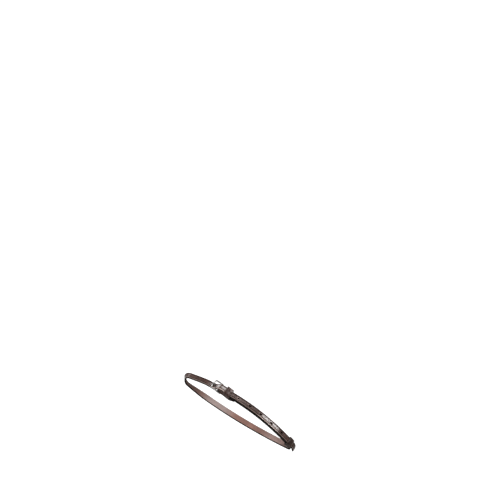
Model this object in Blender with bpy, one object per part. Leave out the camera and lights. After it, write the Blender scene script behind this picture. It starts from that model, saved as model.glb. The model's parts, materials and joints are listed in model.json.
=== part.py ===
"""Flash nose strap: one leather strap buckled into a loop, its buckle, tongue and two keepers.

Metres. X runs along the loop from the nose end to the chin end, Y across the strap, +Z out through the
buckled run. The origin lies inside the strap at the middle of the flat seat where the strap is hung.
"""
import math

import bmesh
import bpy
from mathutils import Vector

# Strap leather
STRAP_WIDTH = 0.013
LEATHER = 0.003
EDGE_BEVEL = 0.0006
LAYER_GAP = 0.0003

# Loop: two long arcs, the near one doubled, joined by the nose bend and the chin bend
NEAR_RADIUS = 0.2945
FAR_RADIUS = 0.733
LOOP_DEPTH = 0.0394
NOSE_BEND_RADIUS = 0.012
NOSE_SEAT_LENGTH = 0.012
CHIN_BEND_RADIUS = 0.0032

# The strap is rolled about its own line at the nose bend, easing out along the far run
NOSE_ROLL_DEG = 32.0
NOSE_ROLL_REACH = 0.0650

# Billet end and its holes, as distances along the billet from the loop's widest place
PRONG_HOLE_PLACE = -0.0464
HOLE_PITCH = 0.0243
HOLE_COUNT = 7
HOLE_LENGTH = 0.0050
HOLE_WIDTH = 0.0032
HOLE_OVERRUN = 0.0010
TIP_LENGTH = 0.0165
TIP_BEND_RADIUS = 0.0115
TIP_POINT_LENGTH = 0.0095
TIP_BLUNT_WIDTH = 0.0012
TIP_LONG_SHARE = 1.5
TIP_ROUND_SHARE = 0.58

# Half buckle
HEEL_BAR_PLACE = -0.0350
BAR_DIAMETER = 0.0028
BUCKLE_LENGTH = 0.0168
BUCKLE_INNER_WIDTH = 0.0180
BUCKLE_CORNER_RADIUS = 0.0022
BUCKLE_SIDE_ARCH = 0.0009
BUCKLE_SIDE_SHIFT = 0.0017
BAR_RISE = 0.0026
BAR_CLEARANCE = 0.0003

# The billet rises over the folded end at the heel bar and dips under the front bar
FOLD_RISE_REACH = 0.0120
FOLD_EASE_REACH = 0.0260
FRONT_DIP = 0.0012
FRONT_DIP_REACH = 0.0130

# Tongue
TONGUE_DIAMETER = 0.0019
TONGUE_TIP_DIAMETER = 0.0012
TONGUE_OVERHANG = 0.0026
TONGUE_SLOT_CLEARANCE = 0.0004
TONGUE_EYE_START_DEG = 100.0
TONGUE_EYE_LEAVE_DEG = -120.0

# Turned-back end, skived thin past the fixed keeper
TURNBACK_END_PLACE = -0.0025
TURNBACK_EDGE = 0.0012
TURNBACK_SKIVE_LENGTH = 0.0080

# Keepers
KEEPER_LEATHER = 0.0018
KEEPER_CLEARANCE = 0.0004
KEEPER_CORNER_RADIUS = 0.0012
KEEPER_EDGE_BEVEL = 0.0004
FIXED_KEEPER_PLACE = -0.0192
FIXED_KEEPER_LENGTH = 0.0125
FIXED_KEEPER_SLACK = 0.0014
FIXED_KEEPER_TAB = 0.0012
FIXED_KEEPER_TAB_GAP = 0.0030
SLIDING_KEEPER_TO_CHIN = 0.0050
SLIDING_KEEPER_LENGTH = 0.0105

# Facets
LONG_STEP = 0.0080
BILLET_STEP = 0.0060
FAR_STEP = 0.0100
BEND_STEPS = 12
FOLD_STEPS = 10
HOLE_SIDES = 16
SLOT_SIDES = 23
BAR_SIDES = 12
TONGUE_SIDES = 10
CORNER_STEPS = 4
SIDE_STEPS = 6
TIP_STEPS = 8
TAPER_STEPS = 5
TONGUE_SPAN_STEPS = 4
KEEPER_HALF_STEPS = 3
EYE_STEP_DEG = 20.0

# Worked-out sizes
HALF_WIDTH = STRAP_WIDTH / 2
LAYER = LEATHER + LAYER_GAP
INNER_RADIUS = NEAR_RADIUS + LEATHER / 2
BILLET_RADIUS = INNER_RADIUS + LAYER
FAR_MID_RADIUS = FAR_RADIUS + LEATHER / 2
CENTRE_DISTANCE = NEAR_RADIUS + FAR_RADIUS - LOOP_DEPTH
BAR_RADIUS = BAR_DIAMETER / 2
FOLD_RADIUS = BAR_RADIUS + BAR_CLEARANCE + LEATHER / 2
FOLD_RISE = BAR_RISE + BAR_RADIUS + BAR_CLEARANCE
TURNBACK_OFFSET = -(LAYER_GAP + FIXED_KEEPER_TAB + LAYER_GAP + LEATHER / 2)
EYE_RADIUS = BAR_RADIUS + BAR_CLEARANCE + TONGUE_DIAMETER / 2

COLOURS = {
    "strap": ((0.085, 0.050, 0.042, 1.0), 0.42, 0.0),
    "keeper": ((0.060, 0.036, 0.030, 1.0), 0.40, 0.0),
    "buckle": ((0.72, 0.71, 0.70, 1.0), 0.22, 1.0),
    "tongue": ((0.70, 0.69, 0.68, 1.0), 0.25, 1.0),
}


def turn(place):
    """Angle round the near arc's centre of a place along the billet."""
    return place / BILLET_RADIUS


def on_arc(radius, angle, centre=Vector((0.0, 0.0))):
    """Point in the loop's plane, angle from straight out, positive towards the chin."""
    return centre + radius * Vector((math.sin(angle), math.cos(angle)))


def bend_angle(near_radius, bend_radius, straight=0.0):
    """How far round the near arc it ends, when a straight and a small bend join it to the far arc."""
    arm = near_radius - bend_radius
    reach = FAR_MID_RADIUS - bend_radius
    level = (arm ** 2 + straight ** 2 + CENTRE_DISTANCE ** 2 - reach ** 2) / (2 * CENTRE_DISTANCE)
    return math.acos(level / math.hypot(arm, straight)) - math.atan2(straight, arm)


def bump(distance, reach):
    """Smooth rise to 1 at distance 0 and back to 0 at the reach."""
    if abs(distance) >= reach:
        return 0.0
    return math.cos(math.pi / 2 * distance / reach) ** 2


def steps(start, end, step):
    """Values from start to end, both included, about a step apart."""
    count = max(1, math.ceil(abs(end - start) / step))
    return [start + (end - start) * i / count for i in range(count + 1)]


NOSE_ANGLE = bend_angle(BILLET_RADIUS, NOSE_BEND_RADIUS, NOSE_SEAT_LENGTH)
CHIN_ANGLE = bend_angle(INNER_RADIUS, CHIN_BEND_RADIUS)
SLIDING_KEEPER_PLACE = CHIN_ANGLE * BILLET_RADIUS - SLIDING_KEEPER_TO_CHIN
FAR_CENTRE = Vector((0.0, CENTRE_DISTANCE))
SEAT_START = on_arc(BILLET_RADIUS, -NOSE_ANGLE)
SEAT_DIRECTION = Vector((-math.cos(NOSE_ANGLE), -math.sin(NOSE_ANGLE)))
SEAT_CENTRE = SEAT_START + SEAT_DIRECTION * (NOSE_SEAT_LENGTH / 2)
SEAT_END = SEAT_START + SEAT_DIRECTION * NOSE_SEAT_LENGTH
NOSE_CENTRE = SEAT_END - NOSE_BEND_RADIUS * Vector((-math.sin(NOSE_ANGLE), math.cos(NOSE_ANGLE)))
NOSE_BEND_START = math.atan2(*(NOSE_CENTRE - FAR_CENTRE)) + 2 * math.pi
NOSE_BEND_END = 2 * math.pi - NOSE_ANGLE
HALF_NOSE_BEND = NOSE_BEND_RADIUS * (NOSE_BEND_END - NOSE_BEND_START) / 2
RUN_CENTRE = Vector((-SEAT_CENTRE.x, 0.0, -SEAT_CENTRE.y))


def heel_bar():
    """Middle of the heel bar in the loop's plane."""
    return on_arc(NEAR_RADIUS + BAR_RISE, turn(HEEL_BAR_PLACE))


def fold_rise(place):
    """How far the layers are lifted over the folded end, short on the nose side and long on the chin side."""
    past_bar = place - HEEL_BAR_PLACE
    reach = FOLD_EASE_REACH if past_bar > 0 else FOLD_RISE_REACH
    return FOLD_RISE * bump(past_bar, reach)


def front_dip(place):
    """How far the billet is pressed down under the front bar."""
    return FRONT_DIP * bump(place - (HEEL_BAR_PLACE - BUCKLE_LENGTH), FRONT_DIP_REACH)


def billet_point(place):
    """Point on the billet's centre line."""
    return on_arc(BILLET_RADIUS + fold_rise(place) - front_dip(place), turn(place))


def billet_underside(place):
    """Height of the billet's underside over the heel bar's middle, square to the strap at the heel bar."""
    ahead = place - HEEL_BAR_PLACE
    fall = BILLET_RADIUS - math.sqrt(BILLET_RADIUS ** 2 - ahead ** 2)
    return LAYER - BAR_RISE + fold_rise(place) - front_dip(place) - fall


FRONT_BAR_HEIGHT = billet_underside(HEEL_BAR_PLACE - BUCKLE_LENGTH) + LEATHER + BAR_CLEARANCE + BAR_RADIUS


def turnback_line():
    """Centre line and thickness of the turned-back end, from its skived edge to the heel bar."""
    line = []
    keeper_end = FIXED_KEEPER_PLACE + FIXED_KEEPER_LENGTH / 2
    edge_offset = -(LAYER_GAP + TURNBACK_EDGE / 2)
    for place in steps(TURNBACK_END_PLACE, HEEL_BAR_PLACE, LONG_STEP / 4):
        from_end = TURNBACK_END_PLACE - place
        skive = min(1.0, from_end / TURNBACK_SKIVE_LENGTH)
        thickness = TURNBACK_EDGE + (LEATHER - TURNBACK_EDGE) * skive
        laid = min(1.0, from_end / (TURNBACK_END_PLACE - keeper_end))
        under_tab = TURNBACK_OFFSET + (LEATHER - thickness) / 2
        offset = edge_offset + (under_tab - edge_offset) * laid + fold_rise(place)
        at_bar = bump(place - HEEL_BAR_PLACE, FOLD_RISE_REACH / 2)
        offset += (BAR_RISE - FOLD_RADIUS - offset) * at_bar
        line.append((on_arc(NEAR_RADIUS + offset, turn(place)), thickness))
    return line


def fold_line():
    """Half turn of the strap round the heel bar."""
    bar = heel_bar()
    start = turn(HEEL_BAR_PLACE) - math.pi
    turns = steps(start, start + math.pi, math.pi / FOLD_STEPS)[1:-1]
    return [(on_arc(FOLD_RADIUS, angle, bar), LEATHER) for angle in turns]


def inner_layer_line():
    """Under layer of the buckled run, from the heel bar to the chin bend."""
    line = []
    end = CHIN_ANGLE * BILLET_RADIUS
    level = HEEL_BAR_PLACE + FOLD_EASE_REACH
    places = steps(HEEL_BAR_PLACE, level, LONG_STEP / 4)[:-1] + steps(level, end, LONG_STEP)
    for place in places:
        line.append((on_arc(INNER_RADIUS + fold_rise(place), turn(place)), LEATHER))
    return line


def bend_line(centre, radius, start, end):
    angles = steps(start, end, (end - start) / BEND_STEPS)
    return [(on_arc(radius, angle, centre), LEATHER) for angle in angles]


def loop_line():
    """Chin bend, far run, nose bend and the flat seat."""
    chin = on_arc(INNER_RADIUS - CHIN_BEND_RADIUS, CHIN_ANGLE)
    chin_way = chin - FAR_CENTRE
    chin_end = math.atan2(chin_way.x, chin_way.y)
    line = bend_line(chin, CHIN_BEND_RADIUS, CHIN_ANGLE, chin_end)[1:]
    far = steps(chin_end, NOSE_BEND_START, FAR_STEP / FAR_MID_RADIUS)[1:]
    line += [(on_arc(FAR_MID_RADIUS, angle, FAR_CENTRE), LEATHER) for angle in far]
    line += bend_line(NOSE_CENTRE, NOSE_BEND_RADIUS, NOSE_BEND_START, NOSE_BEND_END)[1:]
    return line


def billet_line():
    """Outer layer, from the flat seat past the buckle and both keepers to the tip."""
    line = []
    tip_start = SLIDING_KEEPER_PLACE + SLIDING_KEEPER_LENGTH / 2
    rise_end = HEEL_BAR_PLACE + FOLD_EASE_REACH
    dip_start = HEEL_BAR_PLACE - BUCKLE_LENGTH - FRONT_DIP_REACH
    places = steps(-NOSE_ANGLE * BILLET_RADIUS, dip_start, BILLET_STEP)[:-1]
    places += steps(dip_start, rise_end, BILLET_STEP / 3)[:-1]
    places += steps(rise_end, tip_start, BILLET_STEP)
    for place in places:
        line.append((billet_point(place), LEATHER))
    start = turn(tip_start)
    centre = on_arc(BILLET_RADIUS - TIP_BEND_RADIUS, start)
    tip_turn = TIP_LENGTH / TIP_BEND_RADIUS
    for angle in steps(start, start + tip_turn, TIP_POINT_LENGTH / TIP_BEND_RADIUS / TIP_STEPS)[1:]:
        line.append((on_arc(TIP_BEND_RADIUS, angle, centre), LEATHER))
    return line


def path_normals(points):
    """Unit normals on the grain side, a quarter turn left of the way along the line."""
    normals = []
    for i in range(len(points)):
        before = points[max(i - 1, 0)]
        after = points[min(i + 1, len(points) - 1)]
        way = (after - before).normalized()
        normals.append(Vector((-way.y, way.x)))
    return normals


def half_width_at(distance_to_tip):
    """Half the strap's width, drawn in to a rounded point at the tip."""
    if distance_to_tip >= TIP_POINT_LENGTH:
        return HALF_WIDTH
    share = (1 - distance_to_tip / TIP_POINT_LENGTH) ** TIP_LONG_SHARE
    return max(TIP_BLUNT_WIDTH / 2, HALF_WIDTH * (1 - share) ** TIP_ROUND_SHARE)


def strap_section(half_width, thickness):
    """Cross-section with bevelled edges, as (across, height) pairs."""
    bevel = min(EDGE_BEVEL, half_width / 2, thickness / 3)
    wide = half_width
    high = thickness / 2
    return [
        (wide, high - bevel), (wide - bevel, high), (bevel - wide, high), (-wide, high - bevel),
        (-wide, bevel - high), (bevel - wide, -high), (wide - bevel, -high), (wide, bevel - high),
    ]


def nose_roll(before_middle):
    """How far the strap is rolled about its own line, for a distance before the middle of the nose bend."""
    reach = NOSE_ROLL_REACH if before_middle > 0 else HALF_NOSE_BEND
    return math.radians(NOSE_ROLL_DEG) * bump(before_middle, reach)


def rolled(section, angle):
    """Cross-section turned by an angle, its far edge going out."""
    cos, sin = math.cos(angle), math.sin(angle)
    return [(across * cos - high * sin, high * cos + across * sin) for across, high in section]


def loft(rings, name, closed=False):
    """Mesh through rings of points with equal counts, capped at the ends or closed on itself."""
    mesh = bmesh.new()
    loops = [[mesh.verts.new(point) for point in ring] for ring in rings]
    pairs = list(zip(loops, loops[1:]))
    if closed:
        pairs.append((loops[-1], loops[0]))
    for first, second in pairs:
        count = len(first)
        for i in range(count):
            j = (i + 1) % count
            mesh.faces.new((first[i], first[j], second[j], second[i]))
    if not closed:
        mesh.faces.new(list(reversed(loops[0])))
        mesh.faces.new(loops[-1])
    return finish_mesh(mesh, name)


def finish_mesh(mesh, name):
    bmesh.ops.recalc_face_normals(mesh, faces=mesh.faces)
    data = bpy.data.meshes.new(name)
    mesh.to_mesh(data)
    mesh.free()
    return data


def add_object(name, data, look, location=(0.0, 0.0, 0.0), turned=0.0, smooth_angle=35.0):
    colour, roughness, metallic = COLOURS[look]
    material = bpy.data.materials.new(name)
    material.use_nodes = True
    shader = material.node_tree.nodes["Principled BSDF"]
    shader.inputs["Base Color"].default_value = colour
    shader.inputs["Roughness"].default_value = roughness
    shader.inputs["Metallic"].default_value = metallic
    data.materials.append(material)
    data.shade_smooth()
    data.set_sharp_from_angle(angle=math.radians(smooth_angle))
    part = bpy.data.objects.new(name, data)
    part.location = location
    part.rotation_euler = (0.0, turned, 0.0)
    bpy.context.scene.collection.objects.link(part)
    return part


def ribbon_rings(line, sections):
    """Rings of a section at each point of a line in the loop's plane."""
    points = [point for point, _ in line]
    rings = []
    for point, normal, section in zip(points, path_normals(points), sections):
        corners = [(point + normal * high, across) for across, high in section]
        rings.append([(corner.x, across, corner.y) for corner, across in corners])
    return rings


def distances_to_end(line):
    points = [point for point, _ in line]
    total = [0.0]
    for before, after in zip(reversed(points[:-1]), reversed(points[1:])):
        total.append(total[-1] + (after - before).length)
    return list(reversed(total))


def build_strap():
    billet = billet_line()
    line = turnback_line() + fold_line() + inner_layer_line() + loop_line() + billet
    left = distances_to_end(line)
    nose_middle = left[-len(billet)] + NOSE_SEAT_LENGTH + HALF_NOSE_BEND
    sections = []
    for rest, (_, thickness) in zip(left, line):
        flat = strap_section(half_width_at(rest), thickness)
        sections.append(rolled(flat, nose_roll(rest - nose_middle)))
    rings = ribbon_rings(line, sections)
    print(f"strap: {left[0] * 1000:.1f} mm of leather, turned-back end included")
    strap = add_object("strap", loft(rings, "strap"), "strap", RUN_CENTRE)
    for cutter in (cut_slot(), cut_holes()):
        cut = strap.modifiers.new(cutter.name, "BOOLEAN")
        cut.operation = "DIFFERENCE"
        cut.solver = "EXACT"
        cut.object = cutter
    return strap


def add_cutter(name, data):
    cutter = bpy.data.objects.new(name, data)
    cutter.location = RUN_CENTRE
    cutter.hide_render = True
    cutter.display_type = "WIRE"
    bpy.context.scene.collection.objects.link(cutter)
    return cutter


def cut_slot():
    """Slot through the fold for the tongue, all the way round the heel bar."""
    bar = heel_bar()
    radius = FOLD_RADIUS + (LEATHER + LAYER_GAP) / 2
    half_slot = TONGUE_DIAMETER / 2 + TONGUE_SLOT_CLEARANCE
    rings = []
    for across in (-half_slot, half_slot):
        angles = [2 * math.pi * (k + 0.5) / SLOT_SIDES for k in range(SLOT_SIDES)]
        points = [on_arc(radius, angle, bar) for angle in angles]
        rings.append([(point.x, across, point.y) for point in points])
    return add_cutter("slot_cutter", loft(rings, "slot_cutter"))


def cut_holes():
    """Oval holes through the billet only."""
    mesh = bmesh.new()
    straight = (HOLE_LENGTH - HOLE_WIDTH) / 2
    for i in range(HOLE_COUNT):
        place = PRONG_HOLE_PLACE + i * HOLE_PITCH
        along = (billet_point(place + HOLE_LENGTH / 2) - billet_point(place - HOLE_LENGTH / 2)).normalized()
        out = Vector((-along.y, along.x))
        overrun_below = HOLE_OVERRUN if place < HEEL_BAR_PLACE else LAYER_GAP / 2
        rings = []
        for height in (-LEATHER / 2 - overrun_below, LEATHER / 2 + HOLE_OVERRUN):
            middle = billet_point(place) + out * height
            ring = []
            for k in range(HOLE_SIDES):
                angle = 2 * math.pi * (k + 0.5) / HOLE_SIDES
                shift = math.copysign(straight, math.cos(angle))
                reach = shift + HOLE_WIDTH / 2 * math.cos(angle)
                point = middle + along * reach
                ring.append(mesh.verts.new((point.x, HOLE_WIDTH / 2 * math.sin(angle), point.y)))
            rings.append(ring)
        lower, upper = rings
        for k in range(HOLE_SIDES):
            j = (k + 1) % HOLE_SIDES
            mesh.faces.new((lower[k], lower[j], upper[j], upper[k]))
        mesh.faces.new(list(reversed(lower)))
        mesh.faces.new(upper)
    return add_cutter("hole_cutter", finish_mesh(mesh, "hole_cutter"))


def rounded_frame_path():
    """Centre line of the buckle frame: heel bar at x = 0, front bar raised over the billet."""
    half = BUCKLE_INNER_WIDTH / 2 + BAR_RADIUS
    corner = BUCKLE_CORNER_RADIUS
    flat = []
    centres = [(-corner, half - corner, 90), (corner - BUCKLE_LENGTH, half - corner, 180)]
    centres += [(corner - BUCKLE_LENGTH, corner - half, 270), (-corner, corner - half, 360)]
    starts = (0, 90, 180, 270)
    for (x, y, end), start in zip(centres, starts):
        for angle in steps(start, end, (end - start) / CORNER_STEPS):
            turned = math.radians(angle)
            flat.append((x + corner * math.cos(turned), y + corner * math.sin(turned)))
    path = []
    for i, (x, y) in enumerate(flat):
        path.append((x, y))
        next_x, next_y = flat[(i + 1) % len(flat)]
        if math.hypot(next_x - x, next_y - y) > corner:
            shares = [k / SIDE_STEPS for k in range(1, SIDE_STEPS)]
            path += [(x + (next_x - x) * share, y + (next_y - y) * share) for share in shares]
    raised = []
    for x, y in path:
        share = -x / BUCKLE_LENGTH
        height = FRONT_BAR_HEIGHT * share + BUCKLE_SIDE_ARCH * math.sin(math.pi * share)
        raised.append(Vector((x, y, height)))
    return raised


def tube_rings(path, radii, sides, closed):
    """Rings square to a path, kept from twisting by carrying the side direction along."""
    rings = []
    count = len(path)
    side = Vector((0.0, 0.0, 1.0))
    for i, point in enumerate(path):
        before = path[(i - 1) % count] if closed or i > 0 else path[0]
        after = path[(i + 1) % count] if closed or i < count - 1 else path[-1]
        way = (after - before).normalized()
        side = (side - way * side.dot(way)).normalized()
        other = way.cross(side)
        ring = []
        for k in range(sides):
            angle = 2 * math.pi * k / sides
            ring.append(point + radii[i] * (math.cos(angle) * side + math.sin(angle) * other))
        rings.append(ring)
    return rings


def build_buckle():
    bar = heel_bar()
    place = RUN_CENTRE + Vector((bar.x, BUCKLE_SIDE_SHIFT, bar.y))
    path = rounded_frame_path()
    rings = tube_rings(path, [BAR_RADIUS] * len(path), BAR_SIDES, closed=True)
    data = loft(rings, "buckle_frame", closed=True)
    return add_object("buckle_frame", data, "buckle", place, turn(HEEL_BAR_PLACE), 50.0)


def smooth_through(points, count):
    """Catmull-Rom curve through points, count steps to a span."""
    curve = []
    ends = [2 * points[0] - points[1]] + points + [2 * points[-1] - points[-2]]
    for p0, p1, p2, p3 in zip(ends, ends[1:], ends[2:], ends[3:]):
        for i in range(count):
            t = i / count
            curve.append(0.5 * (2 * p1 + (p2 - p0) * t + (2 * p0 - 5 * p1 + 4 * p2 - p3) * t ** 2
                                + (3 * p1 - p0 - 3 * p2 + p3) * t ** 3))
    curve.append(points[-1])
    return curve


def tongue_path():
    """Wire wound round the heel bar, then under the billet, up through its hole and over the front bar."""
    eye = []
    for degrees in steps(TONGUE_EYE_START_DEG, TONGUE_EYE_LEAVE_DEG, EYE_STEP_DEG):
        angle = math.radians(degrees)
        eye.append(Vector((EYE_RADIUS * math.cos(angle), 0.0, EYE_RADIUS * math.sin(angle))))
    billet_low = billet_underside(PRONG_HOLE_PLACE)
    billet_top = billet_low + LEATHER
    slope = LEATHER / 2
    beside_end = (HOLE_LENGTH - TONGUE_DIAMETER - slope) / 2 - TONGUE_SLOT_CLEARANCE
    hole_x = PRONG_HOLE_PLACE - HEEL_BAR_PLACE + beside_end
    over_bar = FRONT_BAR_HEIGHT + BAR_RADIUS + BAR_CLEARANCE + TONGUE_DIAMETER / 2
    leave = eye[-1]
    under = Vector((hole_x + LEATHER, 0.0, billet_low - TONGUE_DIAMETER))
    between = (leave + under) / 2
    between.z -= BAR_CLEARANCE
    rise = [
        leave,
        between,
        under,
        Vector((hole_x + slope / 2, 0.0, billet_low)),
        Vector((hole_x - slope / 2, 0.0, billet_top)),
        Vector((-BUCKLE_LENGTH + BAR_DIAMETER, 0.0, over_bar - BAR_CLEARANCE)),
        Vector((-BUCKLE_LENGTH, 0.0, over_bar + BAR_CLEARANCE / 2)),
        Vector((-BUCKLE_LENGTH - TONGUE_OVERHANG, 0.0, over_bar - TONGUE_DIAMETER / 2)),
    ]
    return eye[:-1] + smooth_through(rise, TONGUE_SPAN_STEPS)


def build_tongue(frame):
    path = tongue_path()
    taper_start = len(path) - TAPER_STEPS
    radii = []
    for i in range(len(path)):
        share = max(0.0, (i - taper_start) / (len(path) - 1 - taper_start))
        radii.append((TONGUE_DIAMETER + (TONGUE_TIP_DIAMETER - TONGUE_DIAMETER) * share ** 2) / 2)
    rings = tube_rings(path, radii, TONGUE_SIDES, closed=False)
    tongue = add_object("buckle_tongue", loft(rings, "buckle_tongue"), "tongue", smooth_angle=50.0)
    tongue.parent = frame
    tongue.location.y = -BUCKLE_SIDE_SHIFT
    return tongue


def corner_arc(centre_y, centre_z, start_deg, end_deg, thickness):
    """Corner of a keeper band: its middle line round a corner, with the way out and the thickness."""
    radius = KEEPER_CORNER_RADIUS + KEEPER_LEATHER / 2
    band = []
    for degrees in steps(start_deg, end_deg, (end_deg - start_deg) / CORNER_STEPS):
        out = Vector((math.cos(math.radians(degrees)), math.sin(math.radians(degrees))))
        band.append((Vector((centre_y, centre_z)) + out * radius, out, thickness))
    return band


def keeper_corners(low, high, slack=0.0):
    """Four corners of a keeper round the double strap, from the lower far one, its slack on the far side."""
    near = KEEPER_CORNER_RADIUS - HALF_WIDTH - KEEPER_CLEARANCE
    far = slack - near
    bottom = low + KEEPER_CORNER_RADIUS
    top = high - KEEPER_CORNER_RADIUS
    corners = corner_arc(far, bottom, -90.0, 0.0, KEEPER_LEATHER)
    corners += corner_arc(far, top, 0.0, 90.0, KEEPER_LEATHER)
    corners += corner_arc(near, top, 90.0, 180.0, KEEPER_LEATHER)
    corners += corner_arc(near, bottom, 180.0, 270.0, KEEPER_LEATHER)
    return corners


def sweep_band(name, band, place, length, closed):
    """Band section swept along the buckled run either side of a place, as heights over its inner face."""
    mesh = bmesh.new()
    half_turn = length / 2 / BILLET_RADIUS
    outer, inner = [], []
    for angle in steps(-half_turn, half_turn, half_turn / KEEPER_HALF_STEPS):
        lifted_radius = NEAR_RADIUS + fold_rise(place + angle * BILLET_RADIUS)
        rows = ([], [])
        for middle, out, thickness in band:
            for row, side in zip(rows, (0.5, -0.5)):
                across, height = middle + out * thickness * side
                point = on_arc(lifted_radius + height, angle)
                row.append(mesh.verts.new((point.x, across, point.y)))
        outer.append(rows[0])
        inner.append(rows[1])
    spans = range(len(band) if closed else len(band) - 1)
    for near, far in zip(range(len(outer) - 1), range(1, len(outer))):
        for k in spans:
            j = (k + 1) % len(band)
            mesh.faces.new((outer[near][k], outer[near][j], outer[far][j], outer[far][k]))
            mesh.faces.new((inner[near][k], inner[far][k], inner[far][j], inner[near][j]))
        if not closed:
            for end in (0, -1):
                mesh.faces.new((outer[near][end], outer[far][end], inner[far][end], inner[near][end]))
    for row in (0, -1):
        for k in spans:
            j = (k + 1) % len(band)
            mesh.faces.new((outer[row][k], outer[row][j], inner[row][j], inner[row][k]))
    return finish_mesh(mesh, name)


def bevel_edges(part):
    bevel = part.modifiers.new("edge_bevel", "BEVEL")
    bevel.width = KEEPER_EDGE_BEVEL
    bevel.segments = 2
    bevel.limit_method = "ANGLE"
    bevel.angle_limit = math.radians(60.0)


def build_sliding_keeper():
    low = -KEEPER_CLEARANCE
    high = LAYER + LEATHER + KEEPER_CLEARANCE
    corners = keeper_corners(low, high)
    data = sweep_band("sliding_keeper", corners, SLIDING_KEEPER_PLACE, SLIDING_KEEPER_LENGTH, closed=True)
    keeper = add_object("sliding_keeper", data, "keeper", RUN_CENTRE, turn(SLIDING_KEEPER_PLACE))
    bevel_edges(keeper)
    return keeper


def build_fixed_keeper():
    """Band over the billet, its ends laid between the strap and the turned-back end."""
    high = LAYER + LEATHER + KEEPER_CLEARANCE
    tab_middle = -LAYER_GAP - FIXED_KEEPER_TAB / 2
    corners = keeper_corners(tab_middle + KEEPER_LEATHER / 2, high, FIXED_KEEPER_SLACK)
    band = []
    for middle, out, thickness in corners:
        round_in = max(0.0, -out.y)
        band.append((middle, out, thickness + (FIXED_KEEPER_TAB - KEEPER_LEATHER) * round_in))
    half_gap = FIXED_KEEPER_TAB_GAP / 2
    down = Vector((0.0, -1.0))
    band.insert(0, (Vector((half_gap, tab_middle)), down, FIXED_KEEPER_TAB))
    band.append((Vector((-half_gap, tab_middle)), down, FIXED_KEEPER_TAB))
    data = sweep_band("fixed_keeper", band, FIXED_KEEPER_PLACE, FIXED_KEEPER_LENGTH, closed=False)
    keeper = add_object("fixed_keeper", data, "keeper", RUN_CENTRE, turn(FIXED_KEEPER_PLACE))
    bevel_edges(keeper)
    return keeper


def main():
    for leftover in list(bpy.data.objects):
        bpy.data.objects.remove(leftover, do_unlink=True)
    build_strap()
    build_tongue(build_buckle())
    build_fixed_keeper()
    build_sliding_keeper()
    bpy.context.view_layer.update()


main()
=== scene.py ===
"""Flash nose strap in finished leather, steel and thread, with its floor, lamps and camera.

Metres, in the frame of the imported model. X runs along the loop from the nose end to the chin end, Y across
the strap and Z out through the buckled run.
"""
import bisect
import json
import math

import bmesh
import bpy
from mathutils import Matrix, Vector


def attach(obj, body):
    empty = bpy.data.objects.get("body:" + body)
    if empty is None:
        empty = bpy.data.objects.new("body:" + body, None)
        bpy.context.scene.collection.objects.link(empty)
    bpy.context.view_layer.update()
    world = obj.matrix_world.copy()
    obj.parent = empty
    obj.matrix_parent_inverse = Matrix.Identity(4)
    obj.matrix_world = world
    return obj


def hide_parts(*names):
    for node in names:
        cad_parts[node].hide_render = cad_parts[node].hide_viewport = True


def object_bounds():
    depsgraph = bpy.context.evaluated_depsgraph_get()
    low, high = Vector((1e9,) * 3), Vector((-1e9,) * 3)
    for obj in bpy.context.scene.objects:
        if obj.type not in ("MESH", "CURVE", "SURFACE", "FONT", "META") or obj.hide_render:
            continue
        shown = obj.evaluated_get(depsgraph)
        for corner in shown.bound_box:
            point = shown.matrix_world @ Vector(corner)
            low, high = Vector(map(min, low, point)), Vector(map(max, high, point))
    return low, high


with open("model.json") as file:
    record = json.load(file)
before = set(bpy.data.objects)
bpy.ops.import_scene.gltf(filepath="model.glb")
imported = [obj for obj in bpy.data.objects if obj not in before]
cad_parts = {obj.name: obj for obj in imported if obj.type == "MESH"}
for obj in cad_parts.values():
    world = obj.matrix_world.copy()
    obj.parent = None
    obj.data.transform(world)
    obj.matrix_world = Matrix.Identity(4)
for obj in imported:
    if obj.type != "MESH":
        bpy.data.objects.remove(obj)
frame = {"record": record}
CAD_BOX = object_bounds()

bl_info = {
    "name": "Flash nose strap",
    "version": (1, 0, 0),
    "blender": (4, 5, 0),
    "location": "View3D > Sidebar > Nose strap",
    "description": "Makes the strap, its keepers, its buckle and its stitches with their finish",
    "category": "Object",
}

JOINTS = {joint["name"]: joint for joint in frame["record"]["behaviour"]["joints"]}
RUN_CENTRE = Vector(JOINTS["sliding_keeper_travel"]["pos_m"])
HEEL_BAR = Vector(JOINTS["tongue_turn"]["pos_m"])
FRAME_MIDDLE = Vector(JOINTS["buckle_turn"]["pos_m"])
BAR_RISE = 0.0026
NEAR_RADIUS = (HEEL_BAR - RUN_CENTRE).length - BAR_RISE

# How finely the pieces are divided, and up to which angle they are shaded smooth
RING_STEP = 0.0013
RING_TURN = math.radians(9.0)
PATH_STEP = 0.0010
BEND_STEPS = 36
TIP_RINGS = 14
CORNER_STEPS = 10
SIDE_STEPS = 10
WIRE_SIDES = 28
STITCH_SIDES = 8
STITCH_RINGS = 9
HOLE_RINGS = 6
EYE_STEP_DEG = 8.0
TONGUE_SPAN_STEPS = 10
LEATHER_SMOOTH_DEG = 48.0
ROUND_SMOOTH_DEG = 60.0

# Form of the rounded edges, the holes' outline, the tip, the stitches and the tongue's wire
ROUNDING_LIMIT_SHARE = 0.45
EDGE_TURNS_DEG = (62.0, 32.0, 0.0)
EDGE_SIDES = (0.85, 0.5, 0.12)
OVAL_POWER = 0.85
TIP_LONG_POWER = 1.5
TIP_ROUND_POWER = 0.58
STITCH_RISE_SHARE = 0.2
STITCH_DIVE_SHARE = 1.4
STITCH_DIVE_POWER = 4
EYE_TURNS_DEG = (100.0, -120.0)
TAPER_SHARE = 0.14
WIRE_END_SHARES = (0.55, 0.85, 0.97)

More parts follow.
